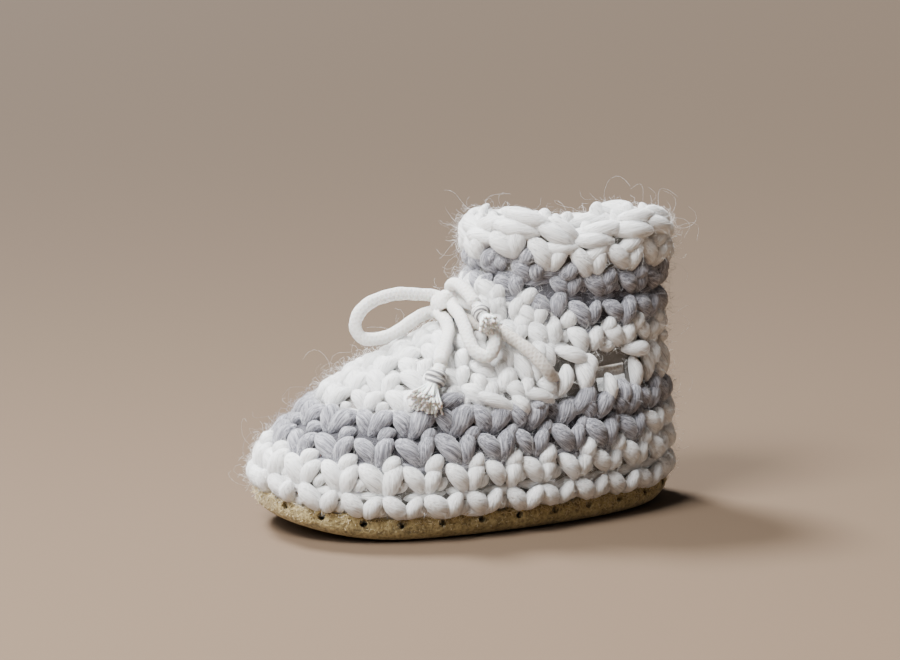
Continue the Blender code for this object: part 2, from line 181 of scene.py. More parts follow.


# %% [markdown]
# ## The lace: cotton cord
#
# The lace is a round knitted cord, 3.2 mm thick. It is fixed by its route: listed points that a
# smooth curve runs through. A plain curve object could draw it, but the knit needs to follow the
# cord, so it is made as a tube of rings with its own map: once round is 0 to 1, and the other way
# counts millimetres along the cord.

# %% Routes of the lace
CORD = 3.2
CORD_SIDES, CORD_STEP = 14, 1.2
LACE_SIDE_ROUTE = (
    (4.1, 5.2, 49.5),
    (2.5, 10.4, 48.8),
    (-0.3, 15.6, 47.8),
    (-3.7, 20.8, 45.2),
    (-6.5, 24.0, 42.4),
    (-8.7, 25.6, 39.4),
    (-10.7, 24.6, 37.2),
    (-12.9, 21.6, 36.0),
    (-15.5, 19.4, 35.6),
    (-18.9, 18.6, 35.5),
    (-23.9, 18.1, 35.6),
    (-29.3, 16.9, 35.7),
    (-34.5, 15.2, 35.8),
    (-39.3, 13.0, 35.8),
    (-43.4, 10.0, 35.8),
    (-46.6, 6.4, 35.8),
    (-48.0, 2.8, 35.8),
    (-48.3, 0.0, 35.8),
)
FAR_LOOP_ROUTE = (
    (4.4, -3.4, 52.7),
    (5.8, -6.9, 53.5),
    (7.6, -7.1, 53.8),
    (10.6, -7.6, 54.1),
    (14.5, -8.2, 54.4),
    (18.7, -8.8, 53.7),
    (22.6, -9.2, 52.2),
    (25.2, -9.5, 49.6),
    (26.0, -9.4, 46.4),
    (24.4, -9.2, 43.9),
    (20.6, -8.2, 43.5),
    (16.5, -7.4, 44.7),
    (12.9, -7.2, 46.7),
    (9.6, -7.2, 48.6),
    (6.3, -7.2, 49.5),
)
FAR_END_ROUTE = (
    (7.9, 4.1, 49.2),
    (8.4, 7.3, 47.3),
    (11.2, 11.9, 45.0),
    (15.1, 17.2, 40.9),
)
NEAR_LOOP_ROUTE = (
    (5.6, 3.2, 52.6),
    (6.1, 5.8, 52.0),
    (6.8, 10.8, 50.6),
    (7.1, 14.1, 48.3),
    (7.4, 17.0, 45.7),
    (6.6, 19.8, 43.1),
    (4.5, 21.6, 42.5),
    (3.0, 21.8, 45.2),
    (2.0, 18.6, 48.7),
    (2.1, 13.7, 51.7),
    (2.6, 9.8, 53.0),
    (3.1, 5.8, 53.2),
)
NEAR_END_ROUTE = (
    (5.1, 2.6, 57.5),
    (5.7, 7.0, 58.0),
    (5.3, 11.4, 56.6),
    (4.9, 15.2, 54.2),
)
THROUGH_THE_KNOT = (
    (6.2, -3.6, 49.9),
    (7.4, -0.2, 50.0),
)
UP_THROUGH_THE_KNOT = (
    (3.3, 2.7, 53.2),
    (3.6, 0.9, 53.9),
    (4.2, 0.1, 55.4),
    (4.8, 0.9, 56.9),
)


# %% Helpers for cords
def run_along(points):
    """How far each point lies along a line."""
    return np.concatenate([[0.0], np.cumsum(np.linalg.norm(np.diff(points, axis=0), axis=1))])


def resample(points, count):
    """The same line with count equal steps."""
    run = run_along(points)
    places = np.linspace(0.0, run[-1], count + 1)
    return np.stack([np.interp(places, run, column) for column in points.T], axis=1)


def between(values, slopes, at, span, t):
    """A value on the smooth curve from station at to the next, a share t of the span on."""
    start = values[at] * (2 * t**3 - 3 * t**2 + 1) + slopes[at] * span * (t**3 - 2 * t**2 + t)
    end = values[at + 1] * (3 * t**2 - 2 * t**3) + slopes[at + 1] * span * (t**3 - t**2)
    return start + end


def smooth_route(route, step=CORD_STEP):
    """Points every step along the smooth curve through a route."""
    route = np.array(route, float)
    chords = np.linalg.norm(np.diff(route, axis=0), axis=1)
    slopes = np.gradient(route, run_along(route), axis=0)
    fine = []
    for at, span in enumerate(chords):
        for t in np.linspace(0.0, 1.0, 30, endpoint=at == len(chords) - 1):
            fine.append(between(route, slopes, at, span, t))
    fine = np.array(fine)
    return resample(fine, max(3, round(run_along(fine)[-1] / step)))


def tube(name, points, radii, sides, surface):
    """A closed round tube along points, mapped once round and in millimetres along."""
    points = np.array(points, float)
    radii = np.broadcast_to(radii, len(points))
    along = np.gradient(points, axis=0)
    along /= np.linalg.norm(along, axis=1, keepdims=True)
    side = np.cross(along[0], (0.0, 0.3, 1.0))
    mesh = bmesh.new()
    cord_map = mesh.loops.layers.uv.new("cord_map")
    turn = np.linspace(0.0, 2 * pi, sides, endpoint=False)
    rings, run = [], 0.0
    for index, (place, direction, radius) in enumerate(zip(points, along, radii)):
        side = side - direction * np.dot(side, direction)
        side = side / np.linalg.norm(side)
        top = np.cross(direction, side)
        ring = place + radius * (np.outer(np.cos(turn), side) + np.outer(np.sin(turn), top))
        if index:
            run += np.linalg.norm(place - points[index - 1])
        rings.append(([mesh.verts.new(p * MM) for p in ring], run))
    for (low, low_run), (high, high_run) in zip(rings, rings[1:]):
        for step in range(sides):
            after = (step + 1) % sides
            face = mesh.faces.new((low[step], low[after], high[after], high[step]))
            corners = ((step, low_run), (step + 1, low_run), (step + 1, high_run), (step, high_run))
            for loop, (around, far) in zip(face.loops, corners):
                loop[cord_map].uv = (around / sides, far)
    mesh.faces.new(reversed(rings[0][0]))
    mesh.faces.new(rings[-1][0])
    return mesh_object(name, mesh, surface)


def settle(piece, slot, *solids):
    """Put a piece on the body and hide the solids that it stands for; the slot is not used."""
    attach(piece, "root")
    if solids:
        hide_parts(*solids)


def joined(name, pieces):
    """Several pieces made one mesh, with the first one's materials."""
    with bpy.context.temp_override(
        active_object=pieces[0], selected_editable_objects=pieces, object=pieces[0]
    ):
        bpy.ops.object.join()
    pieces[0].name = name
    return pieces[0]


# %% [markdown]
# The knit of the cord shows as fine ribs that lean round it. Two sets of slanting bands, one to
# the left and one to the right, give the small V's of a knitted tube, with painted shade in the
# grooves between the ribs. The cotton itself is matt and a warm white, and the stretch that runs
# through the gaps is painted darker, as painted shade. The wrap at each tip has dark bands of
# painted shade between its light turns, and the frayed threads beyond are plain.


# %% Cotton
RIBS_ROUND, RIB_PITCH = 5, 1.2


def knitted_cotton(name, groove, crest):
    """Knitted cotton, its ribs following the cord's own map, with painted shade in the grooves."""
    surface, tree, shader = principled(
        name, Roughness=0.82, Sheen_Weight=0.25, Subsurface_Weight=0.15
    )
    shader.inputs["Subsurface Radius"].default_value = (0.9, 0.6, 0.4)
    shader.inputs["Subsurface Scale"].default_value = 0.8 * MM
    place = out_of(tree, "ShaderNodeUVMap", output="UV", uv_map="cord_map")
    around, along, _ = node(tree, "ShaderNodeSeparateXYZ", {0: place}).outputs
    ribs = []
    for lean in (1, -1):
        turned = maths(tree, "MULTIPLY", around, lean * RIBS_ROUND * 2 * pi)
        climbing = maths(tree, "MULTIPLY", along, 2 * pi / RIB_PITCH)
        ribs.append(maths(tree, "SINE", maths(tree, "ADD", turned, climbing)))
    knit = maths(tree, "ADD", maths(tree, "MULTIPLY", maths(tree, "MAXIMUM", *ribs), 0.5), 0.5)
    # the grooves between the ribs take the darker colour: painted shade
    paint(tree, shader, knit, ((0.4, groove), (0.85, crest)))
    height = maths(tree, "ADD", knit, noise(tree, 900.0, 3.0))
    bump(tree, shader, height, 0.65, 0.3 * MM)
    return surface


cotton = knitted_cotton("white_cotton", (0.87, 0.84, 0.79), (0.94, 0.925, 0.89))
# the run through the gaps gets a darker cotton: painted shade
worn_cotton = knitted_cotton("worn_cotton", (0.66, 0.60, 0.53), (0.76, 0.71, 0.645))


def striped_whipping():
    """A wrap round the tip of the cord, with dark bands of painted shade between its light turns.
    """
    surface, tree, shader = principled("grey_whipping", Roughness=0.8, Sheen_Weight=0.25)
    place = out_of(tree, "ShaderNodeUVMap", output="UV", uv_map="cord_map")
    winding = {"Vector": place, "Rotation": (0, 0, radians(35)), "Scale": (5, 0.6, 1)}
    turned = out_of(tree, "ShaderNodeMapping", winding, "Vector")
    bands = {"Vector": turned, "Scale": 0.5, "Distortion": 1.2, "Detail": 2.0}
    thread = out_of(tree, "ShaderNodeTexWave", bands, "Fac")
    # the dark bands are painted shade between the turns of the wrap
    paint(tree, shader, thread, ((0.35, (0.17, 0.165, 0.17)), (0.65, (0.72, 0.70, 0.67))))
    bump(tree, shader, thread, 0.6, 0.2 * MM)
    return surface


whipping = striped_whipping()


def frayed_cotton():
    """The loose threads of the brush, plain soft white."""
    surface, tree, shader = principled(
        "frayed_cotton", Roughness=0.85, Sheen_Weight=0.3, Subsurface_Weight=0.2
    )
    shader.inputs["Subsurface Scale"].default_value = 0.8 * MM
    where = out_of(tree, "ShaderNodeTexCoord", output="Object")
    lint = noise(tree, 1500.0, 3.0, Vector=where)
    paint(tree, shader, lint, ((0.35, (0.80, 0.78, 0.73)), (0.65, (0.95, 0.94, 0.92))))
    bump(tree, shader, lint, 0.5, 0.1 * MM)
    return surface


loose_cotton = frayed_cotton()


# %% [markdown]
# ## Running and tying the lace
#
# One run goes from the knot through the first gap, round the ankle inside the posts and back. Two
# cords leave the knot on each side: the far one stands up as the big loop and comes out as the
# long end, the near one makes the small loop. The short end comes up out of the knot. Every cord
# of the bow starts inside the knot, so its first and last millimetres are hidden there.

# %% The run and the bow
def soft_radii(path):
    """A radius for each point, a little uneven as a soft cord is."""
    places = np.arange(len(path))
    return CORD / 2 * (1.0 + 0.035 * np.sin(places * 1.9) + 0.025 * np.sin(places * 0.73))


far_side = [(x, -y, z) for x, y, z in reversed(LACE_SIDE_ROUTE[:-1])]
run_path = smooth_route(list(LACE_SIDE_ROUTE) + far_side)
lace_run = tube("lace_run_cord", run_path, soft_radii(run_path), CORD_SIDES, worn_cotton)
settle(lace_run, "white_cotton", "lace_run")

far_path = smooth_route(FAR_LOOP_ROUTE + THROUGH_THE_KNOT + FAR_END_ROUTE)
near_path = smooth_route(NEAR_LOOP_ROUTE + UP_THROUGH_THE_KNOT + NEAR_END_ROUTE)
far_cord = tube("far_loop_and_end", far_path, soft_radii(far_path), CORD_SIDES, cotton)
near_cord = tube("near_loop_and_end", near_path, soft_radii(near_path), CORD_SIDES, cotton)
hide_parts("bow_loop_far", "lace_end_far")
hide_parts("bow_loop_near", "lace_end_near")


def path_length(path):
    """Length along a path, in metres."""
    return float(np.linalg.norm(np.diff(path, axis=0), axis=1).sum()) * MM


for label, path in (("run", run_path), ("far cord", far_path), ("near cord", near_path)):
    print(label, round(path_length(path) * 1000), "mm")

# %% [markdown]
# The knot is a little over two turns of the same cord, wound round a short core. Each end is
# finished with a small hard whipping, and beyond it the cord frays into a brush of loose threads.

# %% Knot and tips
KNOT_MIDDLE = Vector((5.0, 0.0, 52.2))


def wrap_path(middle, axis, radius, turns, climb, count):
    """A helix round an axis through a middle point."""
    axis = Vector(axis).normalized()
    side = axis.orthogonal().normalized()
    top = axis.cross(side)
    path = []
    for step in range(count):
        share = step / (count - 1)
        angle = 2 * pi * turns * share
        path.append(
            Vector(middle)
            + side * radius * cos(angle)
            + top * radius * sin(angle)
            + axis * climb * (share - 0.5)
        )
    return [tuple(p) for p in path]


knot_turns = [
    tube("knot_turn", wrap_path(KNOT_MIDDLE, (0.1, 1, 0.15), 2.3, 2.2, 5.6, 44), 1.5, 12, cotton),
    tube("knot_core", wrap_path(KNOT_MIDDLE, (0.0, 1, 0.0), 0.4, 1.0, 8.4, 12), 1.9, 12, cotton),
]
bow_knot = joined("knot_of_the_bow", knot_turns)
settle(bow_knot, "white_cotton", "bow_knot")


def frayed_tip(name, start, end, knot_radius, brush, threads):
    """A small hard whipping at the start and a brush of loose threads towards the end."""
    start, end = Vector(start), Vector(end)
    along = (end - start).normalized()
    side = along.orthogonal().normalized()
    top = along.cross(side)
    knot_at = start + along * knot_radius * 1.4
    wrap = wrap_path(knot_at, along + side * 0.35, knot_radius * 0.52, 1.6, knot_radius, 26)
    pieces = [tube(name + "_wrap", wrap, knot_radius * 0.52, 9, whipping)]
    core = [tuple(start), tuple(knot_at), tuple(knot_at + along * knot_radius * 1.4)]
    pieces.append(tube(name + "_core", core, knot_radius * 0.62, 9, cotton))
    reach = (end - knot_at).length
    for _ in range(threads):
        angle = chance.uniform(0, 2 * pi)
        spread = brush * chance.uniform(0.0, 1.0) ** 0.6
        away = side * cos(angle) + top * sin(angle)
        curl = Vector(chance.normal(0.0, 0.4, 3))
        path = []
        for t in np.linspace(0.0, chance.uniform(0.85, 1.05), 6):
            out = 0.5 * min(1.0, spread) + spread * t**1.3
            path.append(tuple(knot_at + along * reach * t + away * out + curl * t * t))
        pieces.append(tube(name + "_thread", path, chance.uniform(0.26, 0.46), 5, loose_cotton))
    made = joined(name, pieces)
    settle(made, "white_cotton")
    return made


far_tip = frayed_tip("far_frayed_tip", (15.8, 18.3, 40.2), (22.8, 24.4, 32.6), 2.6, 3.9, 190)
near_tip = frayed_tip("near_frayed_tip", (4.8, 15.3, 54.1), (4.5, 22.4, 49.8), 2.2, 2.0, 90)
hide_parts("tip_knot_far")
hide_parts("tip_knot_near")

for cord_piece, path, pieces in (
    (far_cord, far_path, [far_tip, bow_knot]),
    (near_cord, near_path, [near_tip]),
):
    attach(cord_piece, "root")

# %% [markdown]
# ## The surface of the wool
#
# Stitches have to lie on the surface that the solid upper has, so the same level sections are
# repeated here. Each row of the table is one slice: where it ends at the toe and the heel, how wide
# it is at the ball and the heel, and how full its corners are. Any place on the wool is then named
# by a height and a column, where the columns count round from the toe to the heel and back. Only
# the collar goes its own way: wool is soft, so it sags a little further than the solid's rim.

# %% Sections of the wool
COLLAR_TOP = 73.8
Section = namedtuple("Section", "height front back ball heel square")
WOOL_SECTIONS = (
    Section(6.3, 53.9, -54.1, 30.2, 25.8, 2.35),
    Section(9.0, 54.7, -54.7, 31.2, 26.8, 2.35),
    Section(13.0, 54.4, -54.9, 31.4, 27.1, 2.32),
    Section(17.0, 52.7, -55.0, 31.2, 27.1, 2.30),
    Section(21.0, 49.9, -55.0, 30.5, 27.0, 2.25),
    Section(26.0, 45.3, -54.7, 28.9, 26.4, 2.20),
    Section(31.0, 39.1, -54.3, 26.8, 25.4, 2.15),
    Section(36.0, 30.9, -53.7, 24.2, 24.0, 2.10),
    Section(40.5, 21.1, -53.3, 21.8, 22.7, 2.05),
    Section(44.0, 11.5, -53.1, 20.6, 21.8, 2.05),
    Section(46.8, 5.1, -53.1, 19.8, 21.2, 2.10),
    Section(50.0, 1.1, -53.1, 19.3, 20.6, 2.15),
    Section(55.0, -0.4, -53.5, 19.0, 20.0, 2.15),
    Section(61.0, -0.9, -54.0, 19.0, 19.8, 2.15),
    Section(67.0, -0.7, -54.5, 19.2, 20.0, 2.15),
    Section(COLLAR_TOP, -0.3, -54.7, 19.2, 20.0, 2.15),
)
SUEDE_SECTION = Section(0.0, 54.6, -54.3, 29.4, 25.2, 2.35)
BALL_SHIFT = 0.15
ANKLE_SPLIT = -4.5
FRONT_COLUMNS, BACK_COLUMNS = 18, 30
COLUMNS = 2 * (FRONT_COLUMNS + BACK_COLUMNS)
FINENESS = 4  # grid points to a column
TOE_SPRING, TOE_SPRING_SPAN = 4.6, (26.5, 54.0)
HEEL_LIFT, HEEL_LIFT_SPAN = 1.6, (-39.5, -53.0)
SPRING_FADE = 40.0
ARCH_RISE, ARCH_SPAN = 0.8, (-21.5, 8.5)
RIM_WAVE, RIM_SLOUCH, RIM_WAVE_START = 1.3, 1.3, 56.0
RIM_MIDDLE, RIM_HALF_LENGTH, RIM_HALF_WIDTH = -26.5, 28.0, 20.0
ACROSS_COLLAR = np.array([-0.906, 0.42])  # the collar sags along lines square to this
SAG, SAG_MIDDLE, SAG_REACH = 2.3, 27.5, 7.0
BACK_DROP, BACK_DROP_SPAN = 1.9, (43.0, 52.0)


# %% The wool as a grid
def curve_value(stations, values, place):
    """The value at a place on the smooth curve through the stations."""
    slopes = np.gradient(values, stations)
    at = int(np.clip(np.searchsorted(stations, place, side="right") - 1, 0, len(stations) - 2))
    span = stations[at + 1] - stations[at]
    return between(values, slopes, at, span, (place - stations[at]) / span)


def smooth_step(low, high, value):
    """0 below low, 1 above high and a soft rise between."""
    t = np.clip((value - low) / (high - low), 0.0, 1.0)
    return t * t * (3.0 - 2.0 * t)


def half_outline(section):
    """Points of one side of a section, from the middle of the toe to the middle of the heel."""
    turn = np.linspace(0.0, pi, 400)
    power = 2.0 / section.square
    along = np.sign(np.cos(turn)) * np.abs(np.cos(turn)) ** power
    across = np.abs(np.sin(turn)) ** power
    middle = (section.front + section.back) / 2.0
    reach = (section.front - section.back) / 2.0
    widening = smooth_step(-1.0, 1.0, along + BALL_SHIFT)
    half_width = section.heel + (section.ball - section.heel) * widening
    return np.stack([middle + reach * along, half_width * across], axis=1)


def mirrored_ring(half):
    """The whole closed outline, from one side of it."""
    return np.concatenate([half, half[-2:0:-1] * np.array([1.0, -1.0])])


def lift(along, height):
    """Toe spring and the small rise at the back of the heel, dying out upwards."""
    total = 0.0
    for rise, (start, full) in ((TOE_SPRING, TOE_SPRING_SPAN), (HEEL_LIFT, HEEL_LIFT_SPAN)):
        total = total + rise * np.clip((along - start) / (full - start), 0.0, 1.2) ** 2
    return total * np.clip(1.0 - height / SPRING_FADE, 0.0, 1.0)


def collar_sag(ring):
    """How far the collar hangs lower than the solid's, across its middle and at its back."""
    across = ring @ ACROSS_COLLAR
    middle = SAG * np.exp(-(((across - SAG_MIDDLE) / SAG_REACH) ** 2))
    return middle + BACK_DROP * smooth_step(*BACK_DROP_SPAN, across)


def wool_ring(height):
    """The ring of the wool's mean surface at a height, as points in space."""
    columns = [np.array(column) for column in zip(*WOOL_SECTIONS)]
    half = half_outline(Section(*(curve_value(columns[0], c, height) for c in columns)))
    split = int(np.argmax(half[:, 0] < ANKLE_SPLIT))
    front = resample(half[: split + 1], FRONT_COLUMNS * FINENESS)
    rear = resample(half[split:], BACK_COLUMNS * FINENESS)
    ring = mirrored_ring(np.concatenate([front[:-1], rear]))
    angle = np.arctan2(ring[:, 1] / RIM_HALF_WIDTH, (ring[:, 0] - RIM_MIDDLE) / RIM_HALF_LENGTH)
    wave = RIM_SLOUCH * np.sin(angle) - RIM_WAVE * np.cos(4 * angle) - collar_sag(ring)
    wave = wave * smooth_step(RIM_WAVE_START, COLLAR_TOP, height)
    return np.column_stack([ring, height + lift(ring[:, 0], height) + wave])


GRID_STEP = 0.5
grid_heights = np.arange(WOOL_SECTIONS[0].height, COLLAR_TOP + 0.01, GRID_STEP)
wool_grid = np.array([wool_ring(height) for height in grid_heights])
grid_onward = (np.roll(wool_grid, -2, axis=1) - np.roll(wool_grid, 2, axis=1)) * (FINENESS / 4)
grid_upward = np.gradient(wool_grid, GRID_STEP, axis=0)
print("wool grid", wool_grid.shape)


def wool_at(grid, height, column):
    """A grid's value at a height and a column, which may lie between grid points."""
    row = np.clip((height - grid_heights[0]) / GRID_STEP, 0, len(grid_heights) - 1.001)
    spot = (column % COLUMNS) * FINENESS
    low, left = int(row), int(spot)
    up_share, side_share = row - low, spot - left
    right = (left + 1) % grid.shape[1]
    left = left % grid.shape[1]
    lower = grid[low, left] * (1 - side_share) + grid[low, right] * side_share
    upper = grid[low + 1, left] * (1 - side_share) + grid[low + 1, right] * side_share
    return lower * (1 - up_share) + upper * up_share


Spot = namedtuple("Spot", "place right up out column_mm height_mm")


def wool_spot(height, column):
    """Place and directions on the wool seen from outside, and the size of a column and of 1 mm."""
    onward = wool_at(grid_onward, height, column)
    upward = wool_at(grid_upward, height, column)
    right = onward / np.linalg.norm(onward)
    up = upward - right * np.dot(upward, right)
    height_mm = np.linalg.norm(up)
    up = up / height_mm
    out = np.cross(right, up)
    return Spot(
        wool_at(wool_grid, height, column), right, up, out, np.linalg.norm(onward), height_mm
    )


# %% [markdown]
# ## The yarn
#
# Loosely spun wool is a soft bundle of long fibres with hardly any twist. Close up it shows fine
# streaks along the strand, a satin shine and small stray hairs. The grey yarn is heathered: dark
# and light fibres lie side by side. Each loop of yarn carries a `fibre` attribute, its own
# coordinates along and across the strand, and the streaks are noise stretched along it. A `grey`
# attribute says which yarn the loop is made of.


# %% Wool
def two_yarns(tree, shader, pattern, white, heather):
    """The base colour by a pattern, with a ramp for each yarn."""
    grey = out_of(tree, "ShaderNodeAttribute", output="Fac", attribute_name="grey")
    colours = {"Factor": grey, 6: ramp(tree, pattern, white), 7: ramp(tree, pattern, heather)}
    both = out_of(tree, "ShaderNodeMix", colours, 2, data_type="RGBA")
    tree.links.new(both, shader.inputs["Base Color"])


def spun_wool():
    """White and heathered grey wool, streaked along each strand."""
    surface, tree, shader = principled(
        "spun_wool", Roughness=0.78, Sheen_Weight=0.55, Sheen_Roughness=0.45, Subsurface_Weight=0.2
    )
    shader.inputs["Subsurface Radius"].default_value = (1.0, 0.9, 0.8)
    shader.inputs["Subsurface Scale"].default_value = 1.0 * MM
    fibre = out_of(tree, "ShaderNodeAttribute", output="Vector", attribute_name="fibre")
    streaks = []
    for scale, detail in (((3.6, 3.6, 0.6), 4.0), ((10.0, 10.0, 1.0), 3.0)):
        stretched = out_of(tree, "ShaderNodeMapping", {"Vector": fibre, "Scale": scale}, "Vector")
        streaks.append(noise(tree, 1.0, detail, Vector=stretched))
    mixed = blend(tree, *streaks, 0.5)
    two_yarns(
        tree,
        shader,
        mixed,
        ((0.34, (0.52, 0.515, 0.51)), (0.60, (0.96, 0.955, 0.945)), (0.48, (0.86, 0.855, 0.84))),
        ((0.36, (0.075, 0.075, 0.09)), (0.64, (0.56, 0.555, 0.60)), (0.49, (0.235, 0.232, 0.26))),
    )
    bump(tree, shader, mixed, 0.9, 0.6 * MM)
    return surface


wool = spun_wool()


def felted_core():
    """The dull yarn deep between the stitches, white or grey, painted dark as painted shade."""
    surface, tree, shader = principled("felted_core", Roughness=0.95)
    speck = noise(tree, 700.0, 4.0)
    # both ramps are far darker than the wool: painted shade for the depth between the stitches
    white = ((0.3, (0.12, 0.11, 0.10)), (0.7, (0.36, 0.345, 0.32)))
    heather = ((0.3, (0.05, 0.048, 0.055)), (0.7, (0.15, 0.145, 0.16)))
    two_yarns(tree, shader, speck, white, heather)
    bump(tree, shader, speck, 0.6, 0.3 * MM)
    return surface


core = felted_core()

# %% [markdown]
# ## One loop of yarn
#
# A crochet stitch shows two plump legs that meet in a V. Each leg is a short stretch of fat yarn
# that comes out of the fabric, bulges and goes back in, so its shape is a rounded grain: a ball,
# drawn out, fuller towards the top, bowed to one side and with both ends sunk in. All loops are
# the same few dozen faces. Geometry Nodes place one on every seat, a point that knows its turn,
# its size and which sort of loop it takes.

# %% The tree that lays loops on seats
LOOP_SIDES, LOOP_RINGS = 10, 8
LoopSort = namedtuple("LoopSort", "name bow fuller sink")
LOOP_SORTS = (
    LoopSort("left leg", 0.25, 0.18, 0.45),
    LoopSort("right leg", -0.18, 0.15, 0.45),
    LoopSort("bar", 0.0, 0.0, 0.5),
    LoopSort("long strand", 0.12, 0.0, 0.75),
)
LEFT, RIGHT, BAR, STRAND = range(len(LOOP_SORTS))
TWIST = 0.9
FULL_ENDS = -0.14  # below 0 the ends are more pointed than a ball


def with_vector(tree, geometry, name, value):
    """Geometry with a vector kept at each of its points."""
    kept = {"Geometry": geometry, "Name": name, "Value": value}
    return out_of(
        tree, "GeometryNodeStoreNamedAttribute", kept, data_type="FLOAT_VECTOR", domain="POINT"
    )


def loop_of_yarn(tree, sort):
    """The nodes that shape one sort of loop in a unit box: x across, y inwards and z along."""
    faces = {"Segments": LOOP_SIDES, "Rings": LOOP_RINGS, "Radius": 1.0}
    ball = out_of(tree, "GeometryNodeMeshUVSphere", faces, "Mesh")
    place = out_of(tree, "GeometryNodeInputPosition")
    x, y, z = node(tree, "ShaderNodeSeparateXYZ", {0: place}).outputs
    far = maths(tree, "MULTIPLY", z, z)
    near = maths(tree, "SUBTRACT", 1.0, far)
    ends = maths(tree, "ADD", 1.0, maths(tree, "MULTIPLY", far, FULL_ENDS))
    full = maths(tree, "ADD", ends, maths(tree, "MULTIPLY", z, sort.fuller))
    wide, bowed = maths(tree, "MULTIPLY", x, full), maths(tree, "MULTIPLY", near, sort.bow)
    deep, sunk = maths(tree, "MULTIPLY", y, full), maths(tree, "MULTIPLY", far, sort.sink)
    across, inward = maths(tree, "ADD", wide, bowed), maths(tree, "ADD", deep, sunk)
    shaped = out_of(tree, "ShaderNodeCombineXYZ", {0: across, 1: inward, 2: z})
    twist = {"Vector": place, "Angle": maths(tree, "MULTIPLY", z, TWIST)}
    spun = out_of(tree, "ShaderNodeVectorRotate", twist, rotation_type="Z_AXIS")
    fibrous = {"Geometry": with_vector(tree, ball, "fibre", spun), "Position": shaped}
    moved = out_of(tree, "GeometryNodeSetPosition", fibrous)
    return out_of(tree, "GeometryNodeGeometryToInstance", {"Geometry": moved})


def named(tree, name, data_type="FLOAT_VECTOR"):
    """The value of one of the seats' attributes."""
    return out_of(tree, "GeometryNodeInputNamedAttribute", {"Name": name}, data_type=data_type)


def start_tree(name, *sizes):
    """A geometry tree with its geometry sockets and named size inputs."""
    tree = bpy.data.node_groups.new(name, "GeometryNodeTree")
    tree.interface.new_socket("Geometry", in_out="OUTPUT", socket_type="NodeSocketGeometry")
    tree.interface.new_socket("Geometry", in_out="INPUT", socket_type="NodeSocketGeometry")
    for label, kind, value in sizes:
        socket = tree.interface.new_socket(label, in_out="INPUT", socket_type="NodeSocket" + kind)
        if value is not None:
            socket.default_value = value
    return tree, node(tree, "NodeGroupInput").outputs, node(tree, "NodeGroupOutput").inputs


def end_tree(tree, result, geometry, surface):
    """Give the geometry its material and send it out of the tree."""
    dressed = out_of(tree, "GeometryNodeSetMaterial", {"Geometry": geometry, "Material": surface})
    tree.links.new(dressed, result[0])
    return tree


def yarn_tree():
    """Lay a loop of yarn on every seat."""
    tree, given, result = start_tree("loops_on_seats", ("Plumpness", "Float", 1.0))
    sorts = node(tree, "GeometryNodeJoinGeometry")
    for sort in reversed(LOOP_SORTS):
        tree.links.new(loop_of_yarn(tree, sort), sorts.inputs[0])
    stout = {0: given["Plumpness"], 1: given["Plumpness"], 2: 1.0}
    plump = out_of(tree, "ShaderNodeCombineXYZ", stout)
    laying = {
        "Points": given["Geometry"],
        "Instance": sorts.outputs[0],
        "Pick Instance": True,
        "Instance Index": named(tree, "sort", "INT"),
        "Rotation": out_of(tree, "FunctionNodeEulerToRotation", {0: named(tree, "turn")}),
        "Scale": vectors(tree, "MULTIPLY", named(tree, "size"), plump),
    }
    laid = out_of(tree, "GeometryNodeInstanceOnPoints", laying)
    real = out_of(tree, "GeometryNodeRealizeInstances", {"Geometry": laid})
    fibre = vectors(tree, "ADD", named(tree, "fibre"), named(tree, "seed"))
    marked = with_vector(tree, real, "fibre", fibre)
    smooth = out_of(tree, "GeometryNodeSetShadeSmooth", {"Geometry": marked})
    return end_tree(tree, result, smooth, wool)


loops_on_seats = yarn_tree()


def grown(name, base, tree, **values):
    """Run a tree on an object and keep its result as a plain mesh."""
    modifier = base.modifiers.new("grow", "NODES")
    modifier.node_group = tree
    sockets = {s.name: s.identifier for s in tree.interface.items_tree if s.in_out == "INPUT"}
    for label, value in values.items():
        modifier[sockets[label.replace("_", " ")]] = value
    scene_now = bpy.context.evaluated_depsgraph_get()
    seen = base.evaluated_get(scene_now)
    data = bpy.data.meshes.new_from_object(
        seen, preserve_all_data_layers=True, depsgraph=scene_now
    )
    base.modifiers.remove(modifier)
    data.name = name
    return link_object(name, data)


# %% [markdown]
# ## Seats for the stitches
#
# A seat is laid from a spot on the wool: so many millimetres to the right and up, leaning by an
# angle, sunk so deep below the surface. Hand work is never even, so each seat is moved, turned and
# sized by a small seeded chance.

# %% Laying seats
Seat = namedtuple("Seat", "place turn out size sort grey seed")
SLACK = 0.26  # how far a stitch may sit from its even place
CREST = 1.3  # how far a stitch stands above the mean surface
VALLEY_DEPTH = 2.1  # how much deeper the yarn lies between two rows
PINCH_COLUMN, PINCH_HEIGHT, PINCH_SIZE, PINCH_DEPTH = 21.8, 29.5, 4.2, 3.4
COLUMN_WIDTH = 2.1  # about how wide a column is


def pinch(height, column):
    """How far the wool is drawn in by the pinch at the foot of the first gap."""
    column = min(column % COLUMNS, COLUMNS - column % COLUMNS)
    away = ((column - PINCH_COLUMN) * COLUMN_WIDTH / PINCH_SIZE) ** 2
    away += ((height - PINCH_HEIGHT) / PINCH_SIZE) ** 2
    return PINCH_DEPTH * np.exp(-away)


